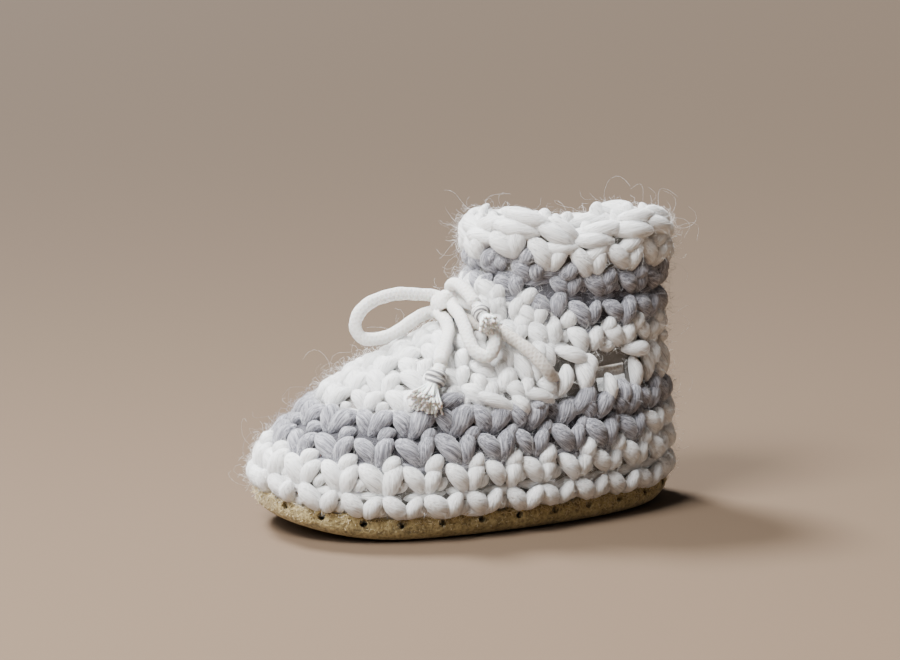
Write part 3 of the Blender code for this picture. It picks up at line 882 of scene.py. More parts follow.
def lay_seat(height, column, right, up, lean, size, sort, grey, deeper=0.0, tip=10.0, tilt=0.0):
    """One seat near a spot on the wool; lean is in degrees, anticlockwise from upright."""
    spot = wool_spot(height, column)
    slope = radians(tilt)
    across, rise = right * cos(slope) - up * sin(slope), right * sin(slope) + up * cos(slope)
    across, rise = across + chance.normal(0, SLACK), rise + chance.normal(0, SLACK * 0.5)
    height, column = height + rise / spot.height_mm, column + across / spot.column_mm
    spot = wool_spot(height, column)
    angle = radians(lean + tilt + chance.normal(0, 4.5))
    along = spot.up * cos(angle) - spot.right * sin(angle)
    tipped = radians(tip + chance.normal(0, 4.0))
    along = along * cos(tipped) + spot.out * sin(tipped)
    side = np.cross(along, spot.out)
    side = side / np.linalg.norm(side)
    inward = np.cross(along, side)
    turn = Matrix([side, inward, along]).transposed().to_euler()
    depth = size[1] / 2 - CREST + deeper + chance.normal(0, 0.15) + pinch(height, column)
    grown_by = chance.normal(1.0, 0.06)
    place = spot.place - spot.out * depth
    seed = chance.uniform(-40, 40, 3)
    return Seat(place, turn, spot.out, np.array(size) / 2 * grown_by, sort, grey, seed)


def stitches(name, seats, plumpness=1.0):
    """The mesh of all loops on a list of seats."""
    data = bpy.data.meshes.new(name + "_seats")
    data.from_pydata([seat.place * MM for seat in seats], [], [])
    for label, values in (
        ("turn", [seat.turn for seat in seats]),
        ("out", [seat.out for seat in seats]),
        ("size", [seat.size * MM for seat in seats]),
        ("seed", [seat.seed for seat in seats]),
    ):
        layer = data.attributes.new(label, "FLOAT_VECTOR", "POINT")
        layer.data.foreach_set("vector", np.array(values, dtype=float).ravel())
    data.attributes.new("sort", "INT", "POINT").data.foreach_set("value", [s.sort for s in seats])
    data.attributes.new("grey", "FLOAT", "POINT").data.foreach_set("value", [s.grey for s in seats])
    base = link_object(name + "_seats", data)
    made = grown(name, base, loops_on_seats, Plumpness=plumpness)
    bpy.data.objects.remove(base)
    settle(made, "white_wool")
    print(name, len(seats), "loops", len(made.data.polygons), "faces")
    return made


# %% [markdown]
# ## The rows
#
# The slipper is worked from the sole up. The foot has four rounds, then comes the row of tall
# posts that the lace runs behind, and above it the ankle and the cuff. In each stitch the left leg
# is fat and leans, the right leg is slimmer and steeper, and a small bump of yarn from the row
# below shows between two stitches. A sunken strand lies in the valley below most rows. The
# rounds of the shaft climb towards the instep, because the front of the shaft is drawn up by the
# bow.

# %% Rows all the way round
Row = namedtuple("Row", "name middle climb tall stitches grey bar_grey shift deeper valley")
ROUNDS = (
    Row("white edge", 8.1, 0.0, 6.7, 27, 0, 0, 0.00, -0.3, True),
    Row("white second", 15.0, 0.0, 7.1, 27, 0, 0, 0.42, 0.0, True),
    Row("grey third", 21.9, 0.0, 7.2, 26, 1, 0, 0.80, 0.0, True),
    Row("white ankle", 44.6, 4.4, 6.0, 16, 0, 0, 0.10, 0.2, False),
    Row("grey ankle", 50.6, 7.0, 6.8, 15, 1, 0, 0.45, 0.2, True),
    Row("grey groove", 57.2, 5.2, 5.6, 15, 1, 1, 0.85, 1.0, True),
    Row("white cuff", 63.2, 3.4, 7.8, 14, 0, 1, 0.20, 0.1, True),
)
CLIMB_SPAN = (-20.0, -3.0)  # X over which the rounds of the shaft climb to the front
WHITE_HEEL_FROM = -40.0  # behind this the third round is white again


def at_front(place):
    """1 at the front of the shaft, 0 along its sides and back."""
    return float(smooth_step(*CLIMB_SPAN, place[0]))


def row_columns(height, count, shift):
    """Columns of count stitches evenly spaced round a level, and their pitch in millimetres."""
    ring = wool_grid[int(round((height - grid_heights[0]) / GRID_STEP))]
    run = run_along(np.vstack([ring, ring[:1]]))
    places = ((np.arange(count) + shift) / count % 1.0) * run[-1]
    return np.interp(places, run, np.arange(len(run)) / FINENESS), run[-1] / count


def one_stitch(height, column, pitch, tall, grey, bar_grey, deeper=0.0, tilt=0.0, valley=True):
    """The two legs of a stitch and the bump beside it, which shows more in another colour."""
    thick = 0.36 * tall + 1.6
    left = (0.46 * pitch, thick, 1.28 * tall)
    right = (0.41 * pitch, thick * 0.96, 1.15 * tall)
    if grey == bar_grey:
        between, bump_depth, bump_up = (2.6, 2.9, 0.6 * tall), 1.7, -0.14
    else:
        between, bump_depth, bump_up = (4.0, 3.8, 0.56 * pitch), 0.0, -0.42
    seats = [
        lay_seat(height, column, -0.22 * pitch, 0, 39, left, LEFT, grey, deeper, tilt=tilt),
        lay_seat(height, column, 0.21 * pitch, 0, -18, right, RIGHT, grey, deeper, tilt=tilt),
        lay_seat(
            height,
            column,
            0.48 * pitch,
            bump_up * tall,
            -42,
            between,
            BAR,
            bar_grey,
            deeper + bump_depth,
            tip=0,
            tilt=tilt,
        ),
    ]
    if valley:
        size, shade = (3.0, 3.0, 1.2 * pitch), max(grey, bar_grey)
        sunk = deeper + VALLEY_DEPTH
        seats.append(
            lay_seat(height, column, 0, -0.52 * tall, 88, size, BAR, shade, sunk, 0, tilt)
        )
    return seats


foot_seats, shaft_seats = [], []
for row in ROUNDS:
    columns, pitch = row_columns(row.middle, row.stitches, row.shift)
    for column in columns:
        grey, place = row.grey, wool_spot(row.middle, column).place
        if row.name == "grey third" and place[0] < WHITE_HEEL_FROM:
            grey = 0
        front = at_front(place) if row.climb else 0.0
        height, tall = row.middle + row.climb * front, row.tall * (1.0 - 0.2 * front)
        seats = one_stitch(
            height, column, pitch, tall, grey, row.bar_grey, row.deeper, valley=row.valley
        )
        (foot_seats if row.middle < 40 else shaft_seats).extend(seats)
print(len(foot_seats), "loops on the foot,", len(shaft_seats), "on the shaft")

# %% [markdown]
# The upper grey round is looser than the others. Its fat strands lie over to the right, one after
# the other, and only a slim leg stands between two of them.

# %% Upper grey round
LOOSE_ROW, LOOSE_STITCHES = 28.3, 25
columns, pitch = row_columns(LOOSE_ROW, LOOSE_STITCHES, 0.2)
for column in columns:
    foot_seats += [
        lay_seat(LOOSE_ROW, column, 0.1 * pitch, 0, -42, (5.2, 4.4, 9.2), RIGHT, 1),
        lay_seat(LOOSE_ROW, column, -0.36 * pitch, 0.3, 24, (4.5, 4.0, 7.4), LEFT, 1, 0.2),
        lay_seat(LOOSE_ROW, column, 0.42 * pitch, -3.0, -60, (3.4, 3.0, 4.8), BAR, 1, 0.8, tip=0),
    ]

# %% [markdown]
# ## The vamp
#
# Over the instep the rounds are worked one above the other at even distances, each one shorter
# than the last, so they lie like the contour lines of a hill and run out against the foot of the
# shaft. The distance of a row from the upper grey round is measured along the wool itself.

# %% Contour rows over the instep
VAMP_GAP = 6.9  # from one row to the next, along the wool
VAMP_PITCH = 9.4
VAMP_TALL = 6.2
VAMP_REACH, VAMP_SIDE = 20.5, 18.4  # columns from the toe: of the lines, and of their stitches
VAMP_ROWS, VAMP_SHIFT = 6, 0.18
SHAFT_FOOT = 45.2
CONTOUR_POINTS, CONTOUR_TOP, CONTOUR_STEP = 145, 50.0, 0.25


def contour_row(distance, reach):
    """Heights and columns at a distance above the upper grey round, from side to side."""
    line = []
    heights = np.arange(LOOSE_ROW, CONTOUR_TOP, CONTOUR_STEP)
    for column in np.linspace(-reach, reach, CONTOUR_POINTS):
        places = np.array([wool_at(wool_grid, height, column) for height in heights])
        height = np.interp(distance, run_along(places), heights)
        if height < SHAFT_FOOT + 2.0 * (1.0 - abs(column) / reach):
            line.append((height, column, *wool_at(wool_grid, height, column)))
    return np.array(line)


vamp_seats = []
for order in range(1, VAMP_ROWS + 1):
    line = contour_row(order * VAMP_GAP, VAMP_REACH)
    if len(line) < 3:
        continue
    run = run_along(line[:, 2:])
    count = max(1, round(run[-1] / VAMP_PITCH))
    climbs = np.degrees(np.arctan(np.gradient(line[:, 4], run)))
    for index in range(count):
        at = (index + 0.5 + VAMP_SHIFT * (-1) ** order) * run[-1] / count
        height, column = np.interp(at, run, line[:, 0]), np.interp(at, run, line[:, 1])
        tilt = float(np.interp(at, run, climbs))
        if order > 1 and abs(column) > VAMP_SIDE:
            continue
        vamp_seats += one_stitch(height, column, VAMP_PITCH, VAMP_TALL, 0, 0, tilt=tilt)
print(len(vamp_seats), "loops on the vamp")

# %% [markdown]
# Some strands at the edge of the vamp are pulled long where the maker picked up a new row. They
# arch over the top of the grey round, on both sides of the foot. A last few stitches fill the
# front of the shaft between the vamp and the grey round of the ankle.

# %% Long strands and the front of the shaft
PROUD = 0.7  # how far the long strands stand above the stitches
FRONT_PITCH, FRONT_TALL = 9.0, 5.8
LongStrand = namedtuple("LongStrand", "height column lean long thick grey")
LONG_STRANDS = (
    LongStrand(31.9, 15.1, 66, 12.0, 3.4, 0),
    LongStrand(31.2, 17.2, 30, 6.6, 3.6, 0),
    LongStrand(32.8, 18.9, 74, 9.8, 3.3, 0),
    LongStrand(30.4, 18.9, 0, 3.4, 3.2, 1),
    LongStrand(36.4, 13.4, 6, 6.4, 3.8, 0),
    LongStrand(32.8, 11.0, -66, 9.0, 4.0, 1),
)
for strand in LONG_STRANDS:
    size = (strand.thick, strand.thick, strand.long)
    for column, side in ((strand.column, 1), (-strand.column, -1)):
        lean, grey = side * strand.lean, strand.grey
        vamp_seats.append(
            lay_seat(strand.height, column, 0, 0, lean, size, STRAND, grey, -PROUD, tip=0)
        )
FRONT_ROWS = (
    (52.2, (-17.5, -12.5, -7.5, -2.5, 2.5, 7.5, 12.5, 17.5)),
    (50.6, (-21.5, 21.5)),
    (56.6, (-14.0, -5.0, 4.0, 13.0)),
    (47.0, (-22.5, -18.5, 18.5, 22.5)),
)
for height, columns in FRONT_ROWS:
    for column in columns:
        shaft_seats += one_stitch(height, column, FRONT_PITCH, FRONT_TALL, 0, 0)

# %% [markdown]
# ## The eyelet posts
#
# Below the ankle stand the posts: tall stitches with caps of yarn that run along their tops, and
# the lace shows in the gaps between them. A cap is a strand that either stands proud or lies sunk
# between two posts. Small white and grey tips stand at the edges of the gaps.

# %% Posts
UPRIGHT, PROUD_CAP, SUNK_CAP = range(3)
POST_DEPTHS = (-0.2, -0.6, 1.4)  # of each of these, below the stitches
PostLeg = namedtuple("PostLeg", "column height lean wide long cap grey")
POST_LEGS = (
    PostLeg(16.3, 41.6, 8, 3.6, 6.0, UPRIGHT, 0),
    PostLeg(17.8, 39.2, 18, 3.9, 9.4, UPRIGHT, 0),
    PostLeg(16.0, 37.4, -25, 4.0, 6.6, UPRIGHT, 0),
    PostLeg(19.6, 39.0, 12, 3.4, 7.0, UPRIGHT, 0),
    PostLeg(20.4, 42.4, -10, 4.0, 6.0, UPRIGHT, 0),
    PostLeg(20.9, 34.9, 34, 4.0, 6.2, UPRIGHT, 0),
    PostLeg(21.6, 42.0, 28, 3.5, 6.4, UPRIGHT, 0),
    PostLeg(30.6, 42.4, 84, 3.4, 5.4, SUNK_CAP, 0),
    PostLeg(41.2, 42.0, 84, 3.6, 7.0, SUNK_CAP, 0),
    PostLeg(23.3, 35.9, -28, 3.8, 8.0, UPRIGHT, 0),
    PostLeg(26.0, 35.9, -4, 4.1, 7.4, UPRIGHT, 0),
    PostLeg(25.0, 41.0, 76, 3.6, 9.0, PROUD_CAP, 0),
    PostLeg(27.2, 38.6, 10, 3.3, 5.8, UPRIGHT, 0),
    PostLeg(25.2, 31.0, -50, 4.6, 9.6, UPRIGHT, 1),
    PostLeg(29.0, 32.6, -2, 3.5, 7.4, UPRIGHT, 0),
    PostLeg(31.4, 31.2, -34, 4.4, 7.8, UPRIGHT, 1),
    PostLeg(34.3, 35.0, 6, 3.9, 9.0, UPRIGHT, 0),
    PostLeg(35.2, 41.2, 82, 3.4, 8.6, PROUD_CAP, 0),
    PostLeg(37.2, 36.8, 4, 3.6, 9.0, UPRIGHT, 0),
    PostLeg(38.6, 39.0, -20, 3.4, 6.0, UPRIGHT, 0),
    PostLeg(38.0, 31.4, -40, 4.2, 7.4, UPRIGHT, 1),
    PostLeg(40.4, 34.6, 10, 3.4, 5.6, UPRIGHT, 0),
    PostLeg(44.6, 36.0, 6, 3.9, 9.0, UPRIGHT, 0),
    PostLeg(47.0, 36.0, -5, 3.9, 9.0, UPRIGHT, 0),
    PostLeg(46.0, 41.0, 82, 3.5, 9.0, PROUD_CAP, 0),
)
post_seats = []
for leg in POST_LEGS:
    sort = LEFT if leg.cap == UPRIGHT else STRAND
    deeper = POST_DEPTHS[leg.cap]
    size = (1.1 * leg.wide, leg.wide + 0.2, 1.12 * leg.long)
    for column, side in ((leg.column, 1), (COLUMNS - leg.column, -1)):
        lean = side * leg.lean
        post_seats.append(
            lay_seat(leg.height, column, 0, 0, lean, size, sort, leg.grey, deeper, tip=0)
        )
print(len(post_seats), "loops in the posts")

# %% [markdown]
# ## The rim
#
# The last round ends in a chain that lies along the top edge like a braid. Each link shows two
# strands on the outside that run together to the right, and two along the top; each link is
# pulled through the one before.

# %% Chain along the rim
RIM_LINKS, RIM_ROW = 14, 70.0
rim_seats = []
columns, pitch = row_columns(RIM_ROW, RIM_LINKS, 0.35)
for column in columns:
    front = at_front(wool_spot(RIM_ROW, column).place)
    for height, right, lean, size, deeper, tip in (
        (69.6, 0.0, 72, (4.3, 4.4, 1.2 * pitch), -0.1, -4),
        (66.6 + 1.2 * front, 0.06 * pitch, 106, (3.8, 4.0, 1.0 * pitch), 0.3, 4),
        (71.8, 0.3 * pitch, 80, (4.3, 4.2, 1.2 * pitch), 1.0, 0),
        (71.2, 0.7 * pitch, -76, (4.4, 4.2, 1.15 * pitch), 3.4, 0),
    ):
        rim_seats.append(lay_seat(height, column, right, 0, lean, size, STRAND, 0, deeper, tip))
print(len(rim_seats), "loops in the rim")

# %% [markdown]
# ## The inside of the fabric
#
# From inside, crochet shows flatter bumps, level strands with small humps between. They are laid
# on the same rows, sunk to the inner side of the wall, so that the collar shows real fabric when
# it is seen from above.

# %% Inner side
INNER_DEPTH = 4.2  # deeper than the stitches of the outer side
INNER_SHAFT, INNER_FOOT = 15, 22  # stitches round
inner_seats = []
for height in np.arange(9.0, 73.0, 4.7):
    if 30 < height < 41:  # the eyelet row is left open
        continue
    around = INNER_SHAFT if height > 44 else INNER_FOOT
    columns, pitch = row_columns(height, around, 0.3 * height)
    for column in columns:
        level, hump = (3.7, 2.8, 1.1 * pitch), (4.2, 2.8, 5.4)
        inner_seats += [
            lay_seat(height, column, 0, 0, 84, level, BAR, 0, INNER_DEPTH, 0),
            lay_seat(height + 2.3, column, 0.5 * pitch, 0, 15, hump, BAR, 0, INNER_DEPTH, 0),
        ]
print(len(inner_seats), "loops inside")

# %% Crochet the slipper
foot = stitches("foot_stitches", foot_seats)
vamp = stitches("vamp_stitches", vamp_seats)
shaft = stitches("shaft_stitches", shaft_seats + post_seats)
rim = stitches("rim_chain", rim_seats)
stitches("inner_stitches", inner_seats)

# %% [markdown]
# ## Stray fibres
#
# Spun wool is never smooth: fine fibres stand off every strand and blur its edge, and at the
# corners of the collar and the toe long wisps curl out. A fibre is a thin tube bent along a
# curve. Geometry Nodes scatter points over the loops, only where they face outwards, and stand a
# fibre on each, leaning at random. Four bent shapes are enough, because each is turned its own way.
# None starts below a lowest height, so the slipper stands clean on the floor.

# %% The tree that grows fibres
FIBRE_TAPER = 0.6  # how much thinner a fibre is at its end
FIBRE_REACH = (0.45, 1.5)  # shortest and longest, as shares of the length
OUTWARDS = 0.15  # how squarely a face has to look out to carry fibres
FibreBend = namedtuple("FibreBend", "start_lean end_lean end")
FIBRE_BENDS = (
    FibreBend((0.0, 0.0, 0.5), (0.6, 0.2, 0.8), (0.45, 0.1, 1.0)),
    FibreBend((0.45, 0.0, 0.3), (-0.55, 0.3, 0.8), (0.15, 0.35, 1.0)),
    FibreBend((-0.2, 0.3, 0.5), (0.6, -0.2, 1.2), (0.85, 0.2, 0.45)),
    FibreBend((0.1, 0.3, 0.6), (0.3, -1.0, 1.0), (-0.55, -0.5, 0.55)),
)


def fibre_surface(name, light, dark):
    """A thin matt fibre, light or dark by the yarn it stands on."""
    surface, tree, shader = principled(name, Roughness=0.6, Sheen_Weight=0.3)
    grey = out_of(tree, "ShaderNodeAttribute", output="Fac", attribute_name="grey")
    paint(tree, shader, grey, ((0.0, light), (1.0, dark)))
    return surface


RANDOM_KINDS = ("FLOAT_VECTOR", "FLOAT", "INT")


def at_random(tree, kind, low, high, seed):
    """A random value for each point; each kind has its own two limits and its own output."""
    which = RANDOM_KINDS.index(kind)
    limits = {2 * which: low, 2 * which + 1: high, "Seed": seed}
    return out_of(tree, "FunctionNodeRandomValue", limits, which, data_type=kind)


def bent_fibres(tree, given, steps):
    """The bent shapes that every fibre is picked from, one unit long."""
    share = maths(tree, "DIVIDE", given["Thickness"], given["Length"])
    circle = {"Resolution": 3, "Radius": share}
    section = out_of(tree, "GeometryNodeCurvePrimitiveCircle", circle)
    shapes = node(tree, "GeometryNodeJoinGeometry")
    for bend in FIBRE_BENDS:
        handles = {
            "Resolution": steps,
            "Start": (0.0, 0.0, 0.0),
            "Start Handle": bend.start_lean,
            "End Handle": bend.end_lean,
            "End": bend.end,
        }
        line = out_of(tree, "GeometryNodeCurvePrimitiveBezierSegment", handles)
        along = out_of(tree, "GeometryNodeSplineParameter", output="Factor")
        thinner = maths(tree, "SUBTRACT", 1.0, maths(tree, "MULTIPLY", along, FIBRE_TAPER))
        drawn = out_of(tree, "GeometryNodeSetCurveRadius", {"Curve": line, "Radius": thinner})
        skin = {"Curve": drawn, "Profile Curve": section, "Fill Caps": True}
        body = out_of(tree, "GeometryNodeCurveToMesh", skin)
        alone = out_of(tree, "GeometryNodeGeometryToInstance", {"Geometry": body})
        tree.links.new(alone, shapes.inputs[0])
    return shapes.outputs[0]


def fibre_tree(name, surface, steps):
    """Stand bent fibres on a mesh where it faces outwards."""
    sizes = (
        ("Density", "Float", 300000.0),
        ("Length", "Float", 0.003),
        ("Thickness", "Float", 0.00004),
        ("Lift", "Float", 0.5),
        ("Lowest", "Float", 0.0),
        ("Seed", "Int", 1),
    )
    tree, given, result = start_tree(name, *sizes)
    seed = given["Seed"]
    shapes = bent_fibres(tree, given, steps)
    normal = out_of(tree, "GeometryNodeInputNormal")
    facing = vectors(tree, "DOT_PRODUCT", normal, named(tree, "out"), "Value")
    place = out_of(tree, "GeometryNodeInputPosition")
    level = out_of(tree, "ShaderNodeSeparateXYZ", {0: place}, "Z")
    above = maths(tree, "GREATER_THAN", level, given["Lowest"])
    outside = maths(tree, "MULTIPLY", maths(tree, "GREATER_THAN", facing, OUTWARDS), above)
    scatter = {
        "Mesh": given["Geometry"],
        "Selection": outside,
        "Density": given["Density"],
        "Seed": seed,
    }
    scattered = node(tree, "GeometryNodeDistributePointsOnFaces", scatter).outputs
    astray = at_random(tree, "FLOAT_VECTOR", (-1.0, -1.0, -1.0), (1.0, 1.0, 1.0), seed)
    raised = {0: scattered["Normal"], "Scale": given["Lift"]}
    lifted = out_of(tree, "ShaderNodeVectorMath", raised, operation="SCALE")
    heading = {"Vector": vectors(tree, "ADD", astray, lifted)}
    turn = out_of(tree, "FunctionNodeAlignRotationToVector", heading, axis="Z")
    spin = out_of(tree, "ShaderNodeCombineXYZ", {2: at_random(tree, "FLOAT", 0.0, 2 * pi, seed)})
    reach = at_random(tree, "FLOAT", *FIBRE_REACH, seed)
    standing = {
        "Points": scattered["Points"],
        "Instance": shapes,
        "Pick Instance": True,
        "Instance Index": at_random(tree, "INT", 0, len(FIBRE_BENDS) - 1, seed),
        "Rotation": out_of(
            tree, "FunctionNodeRotateRotation", {0: turn, 1: spin}, rotation_space="LOCAL"
        ),
        "Scale": maths(tree, "MULTIPLY", reach, given["Length"]),
    }
    stood = out_of(tree, "GeometryNodeInstanceOnPoints", standing)
    real = out_of(tree, "GeometryNodeRealizeInstances", {"Geometry": stood})
    smooth = out_of(tree, "GeometryNodeSetShadeSmooth", {"Geometry": real})
    return end_tree(tree, result, smooth, surface)


wool_fibre = fibre_surface("wool_fibre", (0.86, 0.85, 0.83), (0.38, 0.37, 0.40))
fibres_on_wool = fibre_tree("fibres_on_wool", wool_fibre, 3)
long_fibres = fibre_tree("long_fibres", wool_fibre, 8)


# %% Fuzz and long wisps
def fibres(name, base, slot, tree, **sizes):
    """Fibres grown on a finished piece, as a piece of their own."""
    made = grown(name, base, tree, **sizes)
    settle(made, slot)
    print(name, len(made.data.polygons), "faces")
    return made


fuzz_size = {"Length": 2.0 * MM, "Thickness": 0.016 * MM, "Lift": 0.3, "Lowest": 9.0 * MM}
wisp_size = {"Length": 6.2 * MM, "Thickness": 0.010 * MM, "Lift": 0.8, "Lowest": 12.0 * MM}
for ending, tree, size, first_seed, densities in (
    ("_fuzz", fibres_on_wool, fuzz_size, 0, (850000.0, 1100000.0, 850000.0, 700000.0)),
    ("_wisps", long_fibres, wisp_size, 20, (30000.0, 45000.0, 26000.0, 45000.0)),
):
    for seed, (piece, density) in enumerate(zip((foot, vamp, shaft, rim), densities), first_seed):
        name = piece.name + ending
        fibres(name, piece, "white_wool", tree, Density=density, Seed=seed, **size)

# %% [markdown]
# ## The suede sole
#
# One piece of suede lies under the foot, and its margin is turned up and sewn to the first round.
# It is made here as the solid is, from a profile that runs round the outline, but with three more
# things that leather does: the margin bulges a little between two stitches, its raw edge wanders,
# and a hole is punched at the foot of every stitch of the white edge. The rings are fine enough
# for a soft rounding, and Geometry Nodes punch the holes with a row of round pegs.

# %% Shape of the suede
SUEDE = 1.8
MARGIN_TOP = 6.0
SOLE_COLUMNS = 120  # on one side
ProfileStep = namedtuple("ProfileStep", "inset height puff")
SOLE_PROFILE = (
    ProfileStep(13.0, 0.0, 0.0),
    ProfileStep(7.0, 0.0, 0.0),
    ProfileStep(4.6, 0.05, 0.0),
    ProfileStep(3.0, 0.35, 0.0),
    ProfileStep(1.7, 0.95, 0.1),
    ProfileStep(0.85, 1.8, 0.3),
    ProfileStep(0.3, 2.75, 0.5),
    ProfileStep(0.05, 3.7, 0.8),
    ProfileStep(0.0, 4.6, 1.0),
    ProfileStep(0.1, 5.3, 0.9),
    ProfileStep(0.35, 5.8, 0.5),
    ProfileStep(0.8, MARGIN_TOP, 0.3),
    ProfileStep(SUEDE - 0.4, MARGIN_TOP - 0.1, 0.2),
    ProfileStep(SUEDE, 5.5, 0.0),
    ProfileStep(SUEDE + 0.2, 4.2, 0.0),
    ProfileStep(SUEDE + 2.6, SUEDE, 0.0),
    ProfileStep(13.0, SUEDE, 0.0),
)
HOLES = ROUNDS[0].stitches
HOLE_RADIUS = 1.0
HOLE_HEIGHT = 4.6
PEG_LENGTH = 7.0
PUFF, PUFF_REACH = 0.35, 2.2
sole_line = mirrored_ring(resample(half_outline(SUEDE_SECTION), SOLE_COLUMNS))
sole_onward = np.roll(sole_line, -1, axis=0) - np.roll(sole_line, 1, axis=0)
sole_inward = np.stack([-sole_onward[:, 1], sole_onward[:, 0]], axis=1)
sole_inward /= np.linalg.norm(sole_inward, axis=1, keepdims=True)
stitch_feet, _ = row_columns(ROUNDS[0].middle, HOLES, ROUNDS[0].shift)
foot_places = np.array([wool_spot(ROUNDS[0].middle, column).place[:2] for column in stitch_feet])
hole_spots = [int(np.argmin(np.linalg.norm(sole_line - place, axis=1))) for place in foot_places]
turns = np.arange(len(sole_line))
round_trip = 2 * SOLE_COLUMNS
away = [np.abs((turns - spot + SOLE_COLUMNS) % round_trip - SOLE_COLUMNS) for spot in hole_spots]
bulge = PUFF * (1.0 - np.exp(-((np.min(away, axis=0) / PUFF_REACH) ** 2))) - PUFF
wander = 0.28 * np.sin(turns * 0.31 + 1.0) + 0.2 * np.sin(turns * 0.83) + 0.15 * np.sin(turns * 1.7)


def sole_ring(step):
    """One ring of the suede's profile, as points in space."""
    ring = sole_line + (step.inset - step.puff * bulge)[:, None] * sole_inward
    level = step.height + lift(ring[:, 0], step.height)
    if step.height < 0.1:
        across = np.clip((ring[:, 0] - ARCH_SPAN[0]) / (ARCH_SPAN[1] - ARCH_SPAN[0]), 0.0, 1.0)
        level = level + ARCH_RISE * np.sin(pi * across) ** 2
    if step.height > 5.0:
        level = level + wander
    return np.column_stack([ring, level])


def suede_cup(name):
    """The cup of suede as one closed piece."""
    mesh = bmesh.new()
    rings = [[mesh.verts.new(p * MM) for p in sole_ring(step)] for step in SOLE_PROFILE]
    count = len(sole_line)
    for low, high in zip(rings, rings[1:]):
        for column in range(count):
            after = (column + 1) % count
            mesh.faces.new((low[column], low[after], high[after], high[column]))
    for ring in (rings[0], rings[-1]):
        for column in range(count // 2):
            corners = (ring[column], ring[column + 1], ring[-(column + 1)], ring[-column % count])
            mesh.faces.new(tuple(dict.fromkeys(corners)))
    bmesh.ops.recalc_face_normals(mesh, faces=mesh.faces)
    return mesh_object(name, mesh, suede)


# %% [markdown]
# Suede is the rough side of the hide. Its nap lies in small tufts, lighter where it catches the
# light, and the raw edge of the margin is pale and fuzzy. The base colour follows two sizes of
# noise and the same noise lifts the surface.


# %% Suede finish
def napped_suede():
    """Golden tan suede with a tufted nap."""
    surface, tree, shader = principled("napped_suede", Roughness=0.95, Sheen_Weight=0.45)
    shader.inputs["Sheen Tint"].default_value = (1.0, 0.86, 0.62, 1.0)
    where = out_of(tree, "ShaderNodeTexCoord", output="Object")
    tufts = noise(tree, 1300.0, 5.0, Vector=where)
    patches = noise(tree, 420.0, 3.0, Vector=where)
    mixed = blend(tree, tufts, patches, 0.65)
    dark, light, middle = (0.140, 0.104, 0.046), (0.61, 0.495, 0.245), (0.390, 0.304, 0.138)
    paint(tree, shader, mixed, ((0.34, dark), (0.66, light), (0.50, middle)))
    bump(tree, shader, mixed, 1.0, 0.7 * MM)
    return surface


suede = napped_suede()


# %% Punch the holes
def punch_tree():
    """Cut a round hole through a mesh at every seat."""
    sizes = (("Pegs", "Object", None), ("Radius", "Float", 0.0008), ("Length", "Float", 0.006))
    tree, given, result = start_tree("punched_holes", *sizes)
    seats = {"Object": given["Pegs"]}
    places = out_of(tree, "GeometryNodeObjectInfo", seats, "Geometry", transform_space="ORIGINAL")
    cylinder = {"Vertices": 14, "Radius": given["Radius"], "Depth": given["Length"]}
    peg = out_of(tree, "GeometryNodeMeshCylinder", cylinder, "Mesh")
    turn = out_of(tree, "FunctionNodeEulerToRotation", {0: named(tree, "turn")})
    standing = {"Points": places, "Instance": peg, "Rotation": turn}
    pegs = out_of(tree, "GeometryNodeInstanceOnPoints", standing)
    real = out_of(tree, "GeometryNodeRealizeInstances", {"Geometry": pegs})
    both = {"Mesh 1": given["Geometry"], "Mesh 2": real}
    cut = out_of(tree, "GeometryNodeMeshBoolean", both, operation="DIFFERENCE")
    return end_tree(tree, result, cut, suede)


peg_data = bpy.data.meshes.new("hole_places")
peg_places, peg_turns = [], []
for spot in hole_spots:
    inward = sole_inward[spot]
    place = sole_line[spot] + inward * 0.2
    peg_places.append(Vector((*place, HOLE_HEIGHT + lift(place[0], HOLE_HEIGHT))) * MM)
    peg_turns.append(Vector((*inward, -0.25)).to_track_quat("Z", "Y").to_euler())
peg_data.from_pydata(peg_places, [], [])
turn_layer = peg_data.attributes.new("turn", "FLOAT_VECTOR", "POINT")
turn_layer.data.foreach_set("vector", np.array(peg_turns).ravel())
peg_object = link_object("hole_places", peg_data)
plain_sole = suede_cup("plain_sole")
peg_size = {"Radius": HOLE_RADIUS * MM, "Length": PEG_LENGTH * MM}
suede_sole = grown("suede_sole", plain_sole, punch_tree(), Pegs=peg_object, **peg_size)
bpy.data.objects.remove(plain_sole)
bpy.data.objects.remove(peg_object)
suede_sole.data.shade_smooth()
suede_sole.data.set_sharp_from_angle(angle=radians(50))
settle(suede_sole, "tan_suede", "sole")
print("sole", len(suede_sole.data.polygons), "faces,", len(hole_spots), "holes")

# %% [markdown]
# The nap is short fibres that stand on the outside of the suede, longer and denser along its raw
# edge. The same tree grows them: each place on the sole gets an outward direction first.


# %% Nap
EDGE_LEVEL = 5.6  # above this the raw edge carries nap all round


def mark_outside(piece, lowest, highest):
    """A copy of a piece's faces between two heights, each corner marked with its way out."""
    copy = bmesh.new()
    copy.from_mesh(piece.data)
    copy.normal_update()
    out = copy.verts.layers.float_vector.new("out")
    unwanted = []
    for face in copy.faces:
        middle = face.calc_center_median()
        level = middle.z / MM - lift(middle.x / MM, middle.z / MM)
        outwards = face.normal.dot(Vector((middle.x * 0.3, middle.y, 0.0)).normalized()) > -0.35
        if not (lowest < level < highest and (outwards or level > EDGE_LEVEL)):
            unwanted.append(face)
    bmesh.ops.delete(copy, geom=unwanted, context="FACES")
    for corner in copy.verts:
        corner[out] = corner.normal
    return mesh_object("outside", copy, smooth=False)


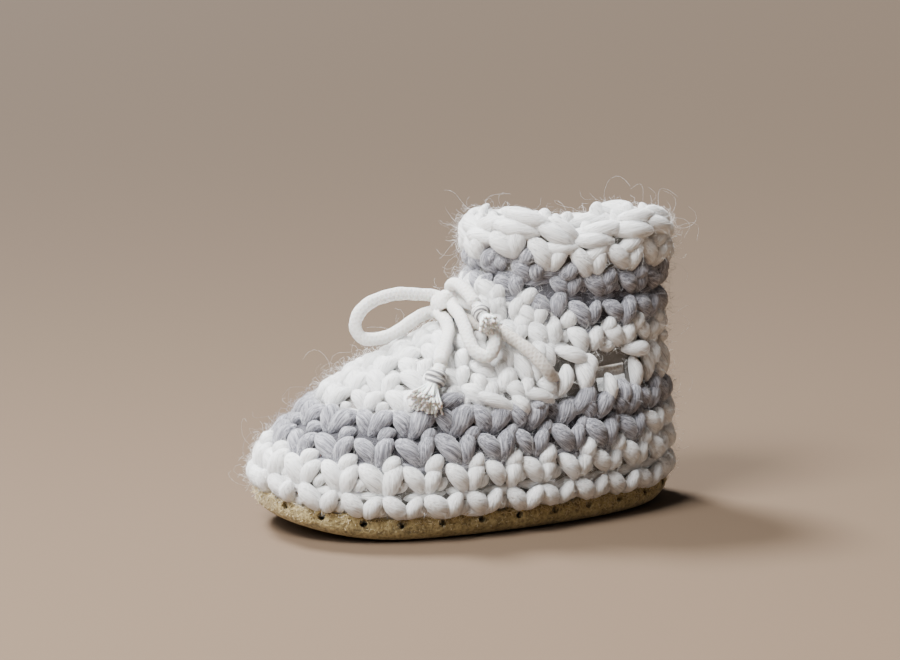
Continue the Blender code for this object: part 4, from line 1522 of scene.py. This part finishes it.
nap_fibre, _, _ = principled(
    "nap_fibre", Base_Color=(0.64, 0.53, 0.30, 1.0), Roughness=0.7, Sheen_Weight=0.3
)
fibres_on_suede = fibre_tree("fibres_on_suede", nap_fibre, 3)
for name, lowest, highest, density, length, seed in (
    ("nap", 2.4, 5.9, 1150000.0, 0.5, 40),
    ("edge_nap", 5.1, 7.0, 3600000.0, 0.95, 41),
):
    outside = mark_outside(suede_sole, lowest, highest)
    fibres(
        name,
        outside,
        "tan_suede",
        fibres_on_suede,
        Density=density,
        Length=length * MM,
        Thickness=0.065 * MM,
        Lift=0.7,
        Seed=seed,
    )
    bpy.data.objects.remove(outside)

# %% [markdown]
# ## The wall behind the stitches
#
# Between the legs one looks into the dark depth of the fabric, never through it. A thin wall of
# yarn, painted dark as painted shade, fills the middle of the fabric: two grids of the wool's
# surface, one sunk less and one sunk more, joined along their edges, with the gaps of the eyelet
# row left open.

# %% Backing wall
BACKING = (2.2, 4.4)
POST_BACKING = (2.6, 3.4)
CHANNEL = (32.2, 38.1)
GAP_COLUMNS = ((19, 24), (28.6, 33.8), (39.6, 43.6))
BACKING_STEP = 2  # in grid points
backing_heights = np.concatenate(
    [np.arange(7.3, 31.8, 1.6), np.linspace(*CHANNEL, 6), np.arange(39.7, 72.9, 1.6)]
)
GREY_BANDS = ((18.7, 31.0), (47.5, 60.5))


def backing_wall():
    """The middle of the fabric in painted shade, a closed shell with the eyelet gaps cut out."""
    mesh = bmesh.new()
    grey = mesh.verts.layers.float.new("grey")
    out = mesh.verts.layers.float_vector.new("out")
    spots = np.arange(0, COLUMNS * FINENESS, BACKING_STEP)
    sides = []
    for side in (0, 1):
        rings = []
        for height in backing_heights:
            ring = []
            for spot in spots:
                at = wool_spot(height, spot / FINENESS)
                in_channel = CHANNEL[0] <= height <= CHANNEL[1] and at.place[0] < ANKLE_SPLIT
                depth = (POST_BACKING if in_channel else BACKING)[side]
                depth = depth + pinch(height, spot / FINENESS) * (1 - 0.5 * side)
                corner = mesh.verts.new((at.place - at.out * depth) * MM)
                corner[grey] = float(any(low < height < high for low, high in GREY_BANDS))
                corner[out] = at.out
                ring.append(corner)
            rings.append(ring)
        sides.append(rings)
    outer, inner_side = sides
    count = len(spots)

    def is_gap(level, column):
        """Whether a cell of the wall lies in one of the eyelet gaps."""
        middle_height = (backing_heights[level] + backing_heights[level + 1]) / 2
        if not CHANNEL[0] < middle_height < CHANNEL[1]:
            return False
        place = (column + 0.5) * BACKING_STEP / FINENESS
        place = min(place, COLUMNS - place)
        return any(low < place < high for low, high in GAP_COLUMNS)

    levels = len(backing_heights) - 1
    for level in range(levels):
        for column in range(count):
            if is_gap(level, column):
                continue
            after = (column + 1) % count
            for rings, flip in ((outer, False), (inner_side, True)):
                corners = [
                    rings[level][column],
                    rings[level][after],
                    rings[level + 1][after],
                    rings[level + 1][column],
                ]
                mesh.faces.new(reversed(corners) if flip else corners)
            for near, far, open_side in (
                ((level, column), (level, after), level == 0 or is_gap(level - 1, column)),
                (
                    (level + 1, after),
                    (level + 1, column),
                    level == levels - 1 or is_gap(level + 1, column),
                ),
                ((level + 1, column), (level, column), is_gap(level, column - 1)),
                ((level, after), (level + 1, after), is_gap(level, after)),
            ):
                if open_side:
                    mesh.faces.new(
                        (
                            inner_side[near[0]][near[1]],
                            inner_side[far[0]][far[1]],
                            outer[far[0]][far[1]],
                            outer[near[0]][near[1]],
                        )
                    )
    bmesh.ops.recalc_face_normals(mesh, faces=mesh.faces)
    # the wall is dressed in the core's painted shade
    return mesh_object("wool_backing", mesh, core)


backing = backing_wall()
settle(backing, "white_wool")
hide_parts("upper")
print("backing faces", len(backing.data.polygons))
gap_size = {"Length": 3.0 * MM, "Thickness": 0.02 * MM, "Lift": 0.5}
fibres("gap_fuzz", backing, "white_wool", fibres_on_wool, Density=150000.0, Seed=60, **gap_size)

# %% [markdown]
# ## The footbed
#
# The footbed is a pad of cream felt. Its shape in the solid is right, so it keeps it and only gets
# a finish: pressed fibres in every direction, which a twisted noise gives.

# %% Felt
felt, felt_tree, felt_shader = principled("cream_felt", Roughness=0.95, Sheen_Weight=0.3)
pressed = noise(felt_tree, 420.0, 6.0, Distortion=1.5)
paint(felt_tree, felt_shader, pressed, ((0.3, (0.52, 0.48, 0.41)), (0.7, (0.80, 0.77, 0.70))))
bump(felt_tree, felt_shader, pressed, 0.6, 0.4 * MM)
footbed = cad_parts["insole"]
footbed.material_slots[0].material = felt
print("footbed finished")

# %% [markdown]
# ## Light and floor
#
# A floor of plain brown paper and daylight from a studio window: a sun-like lamp high behind the
# slipper throws its shadow forward, a soft window and a weaker fill light it from the toe's side,
# and a dim even sky keeps the grooves of the wool soft.


# %% Studio
def lamp(name, kind, place, aim, power, colour, **settings):
    """A lamp turned to its aim."""
    data = bpy.data.lights.new(name, kind)
    data.energy = power
    data.color = colour
    for label, value in settings.items():
        setattr(data, label, value)
    made = link_object(name, data)
    made.location = place
    made.rotation_euler = (Vector(place) - Vector(aim)).to_track_quat("Z", "Y").to_euler()


DAYLIGHT, PALE_BLUE = (0.98, 0.99, 1.0), (0.96, 0.985, 1.0)
lamp("sun", "SUN", (0.18, -0.56, 0.81), (0, 0, 0), 9.2, DAYLIGHT, angle=radians(16))
lamp("window", "AREA", (0.36, 0.14, 0.55), (0, 0, 0.03), 11.0, DAYLIGHT, size=0.25)
lamp("fill", "AREA", (0.56, 0.27, 0.38), (0, 0, 0.04), 2.2, PALE_BLUE, size=0.25)
sky = bpy.data.worlds.new("studio")
sky.use_nodes = True
background = sky.node_tree.nodes["Background"]
background.inputs["Color"].default_value = (0.95, 0.975, 1.0, 1.0)
background.inputs["Strength"].default_value = 0.10
bpy.context.scene.world = sky

paper, _, _ = principled("studio_paper", Base_Color=(0.117, 0.076, 0.045, 1.0), Roughness=0.95)
floor_mesh = bmesh.new()
bmesh.ops.create_grid(floor_mesh, x_segments=1, y_segments=1, size=12.0)
floor = mesh_object("floor", floor_mesh, paper, smooth=False)
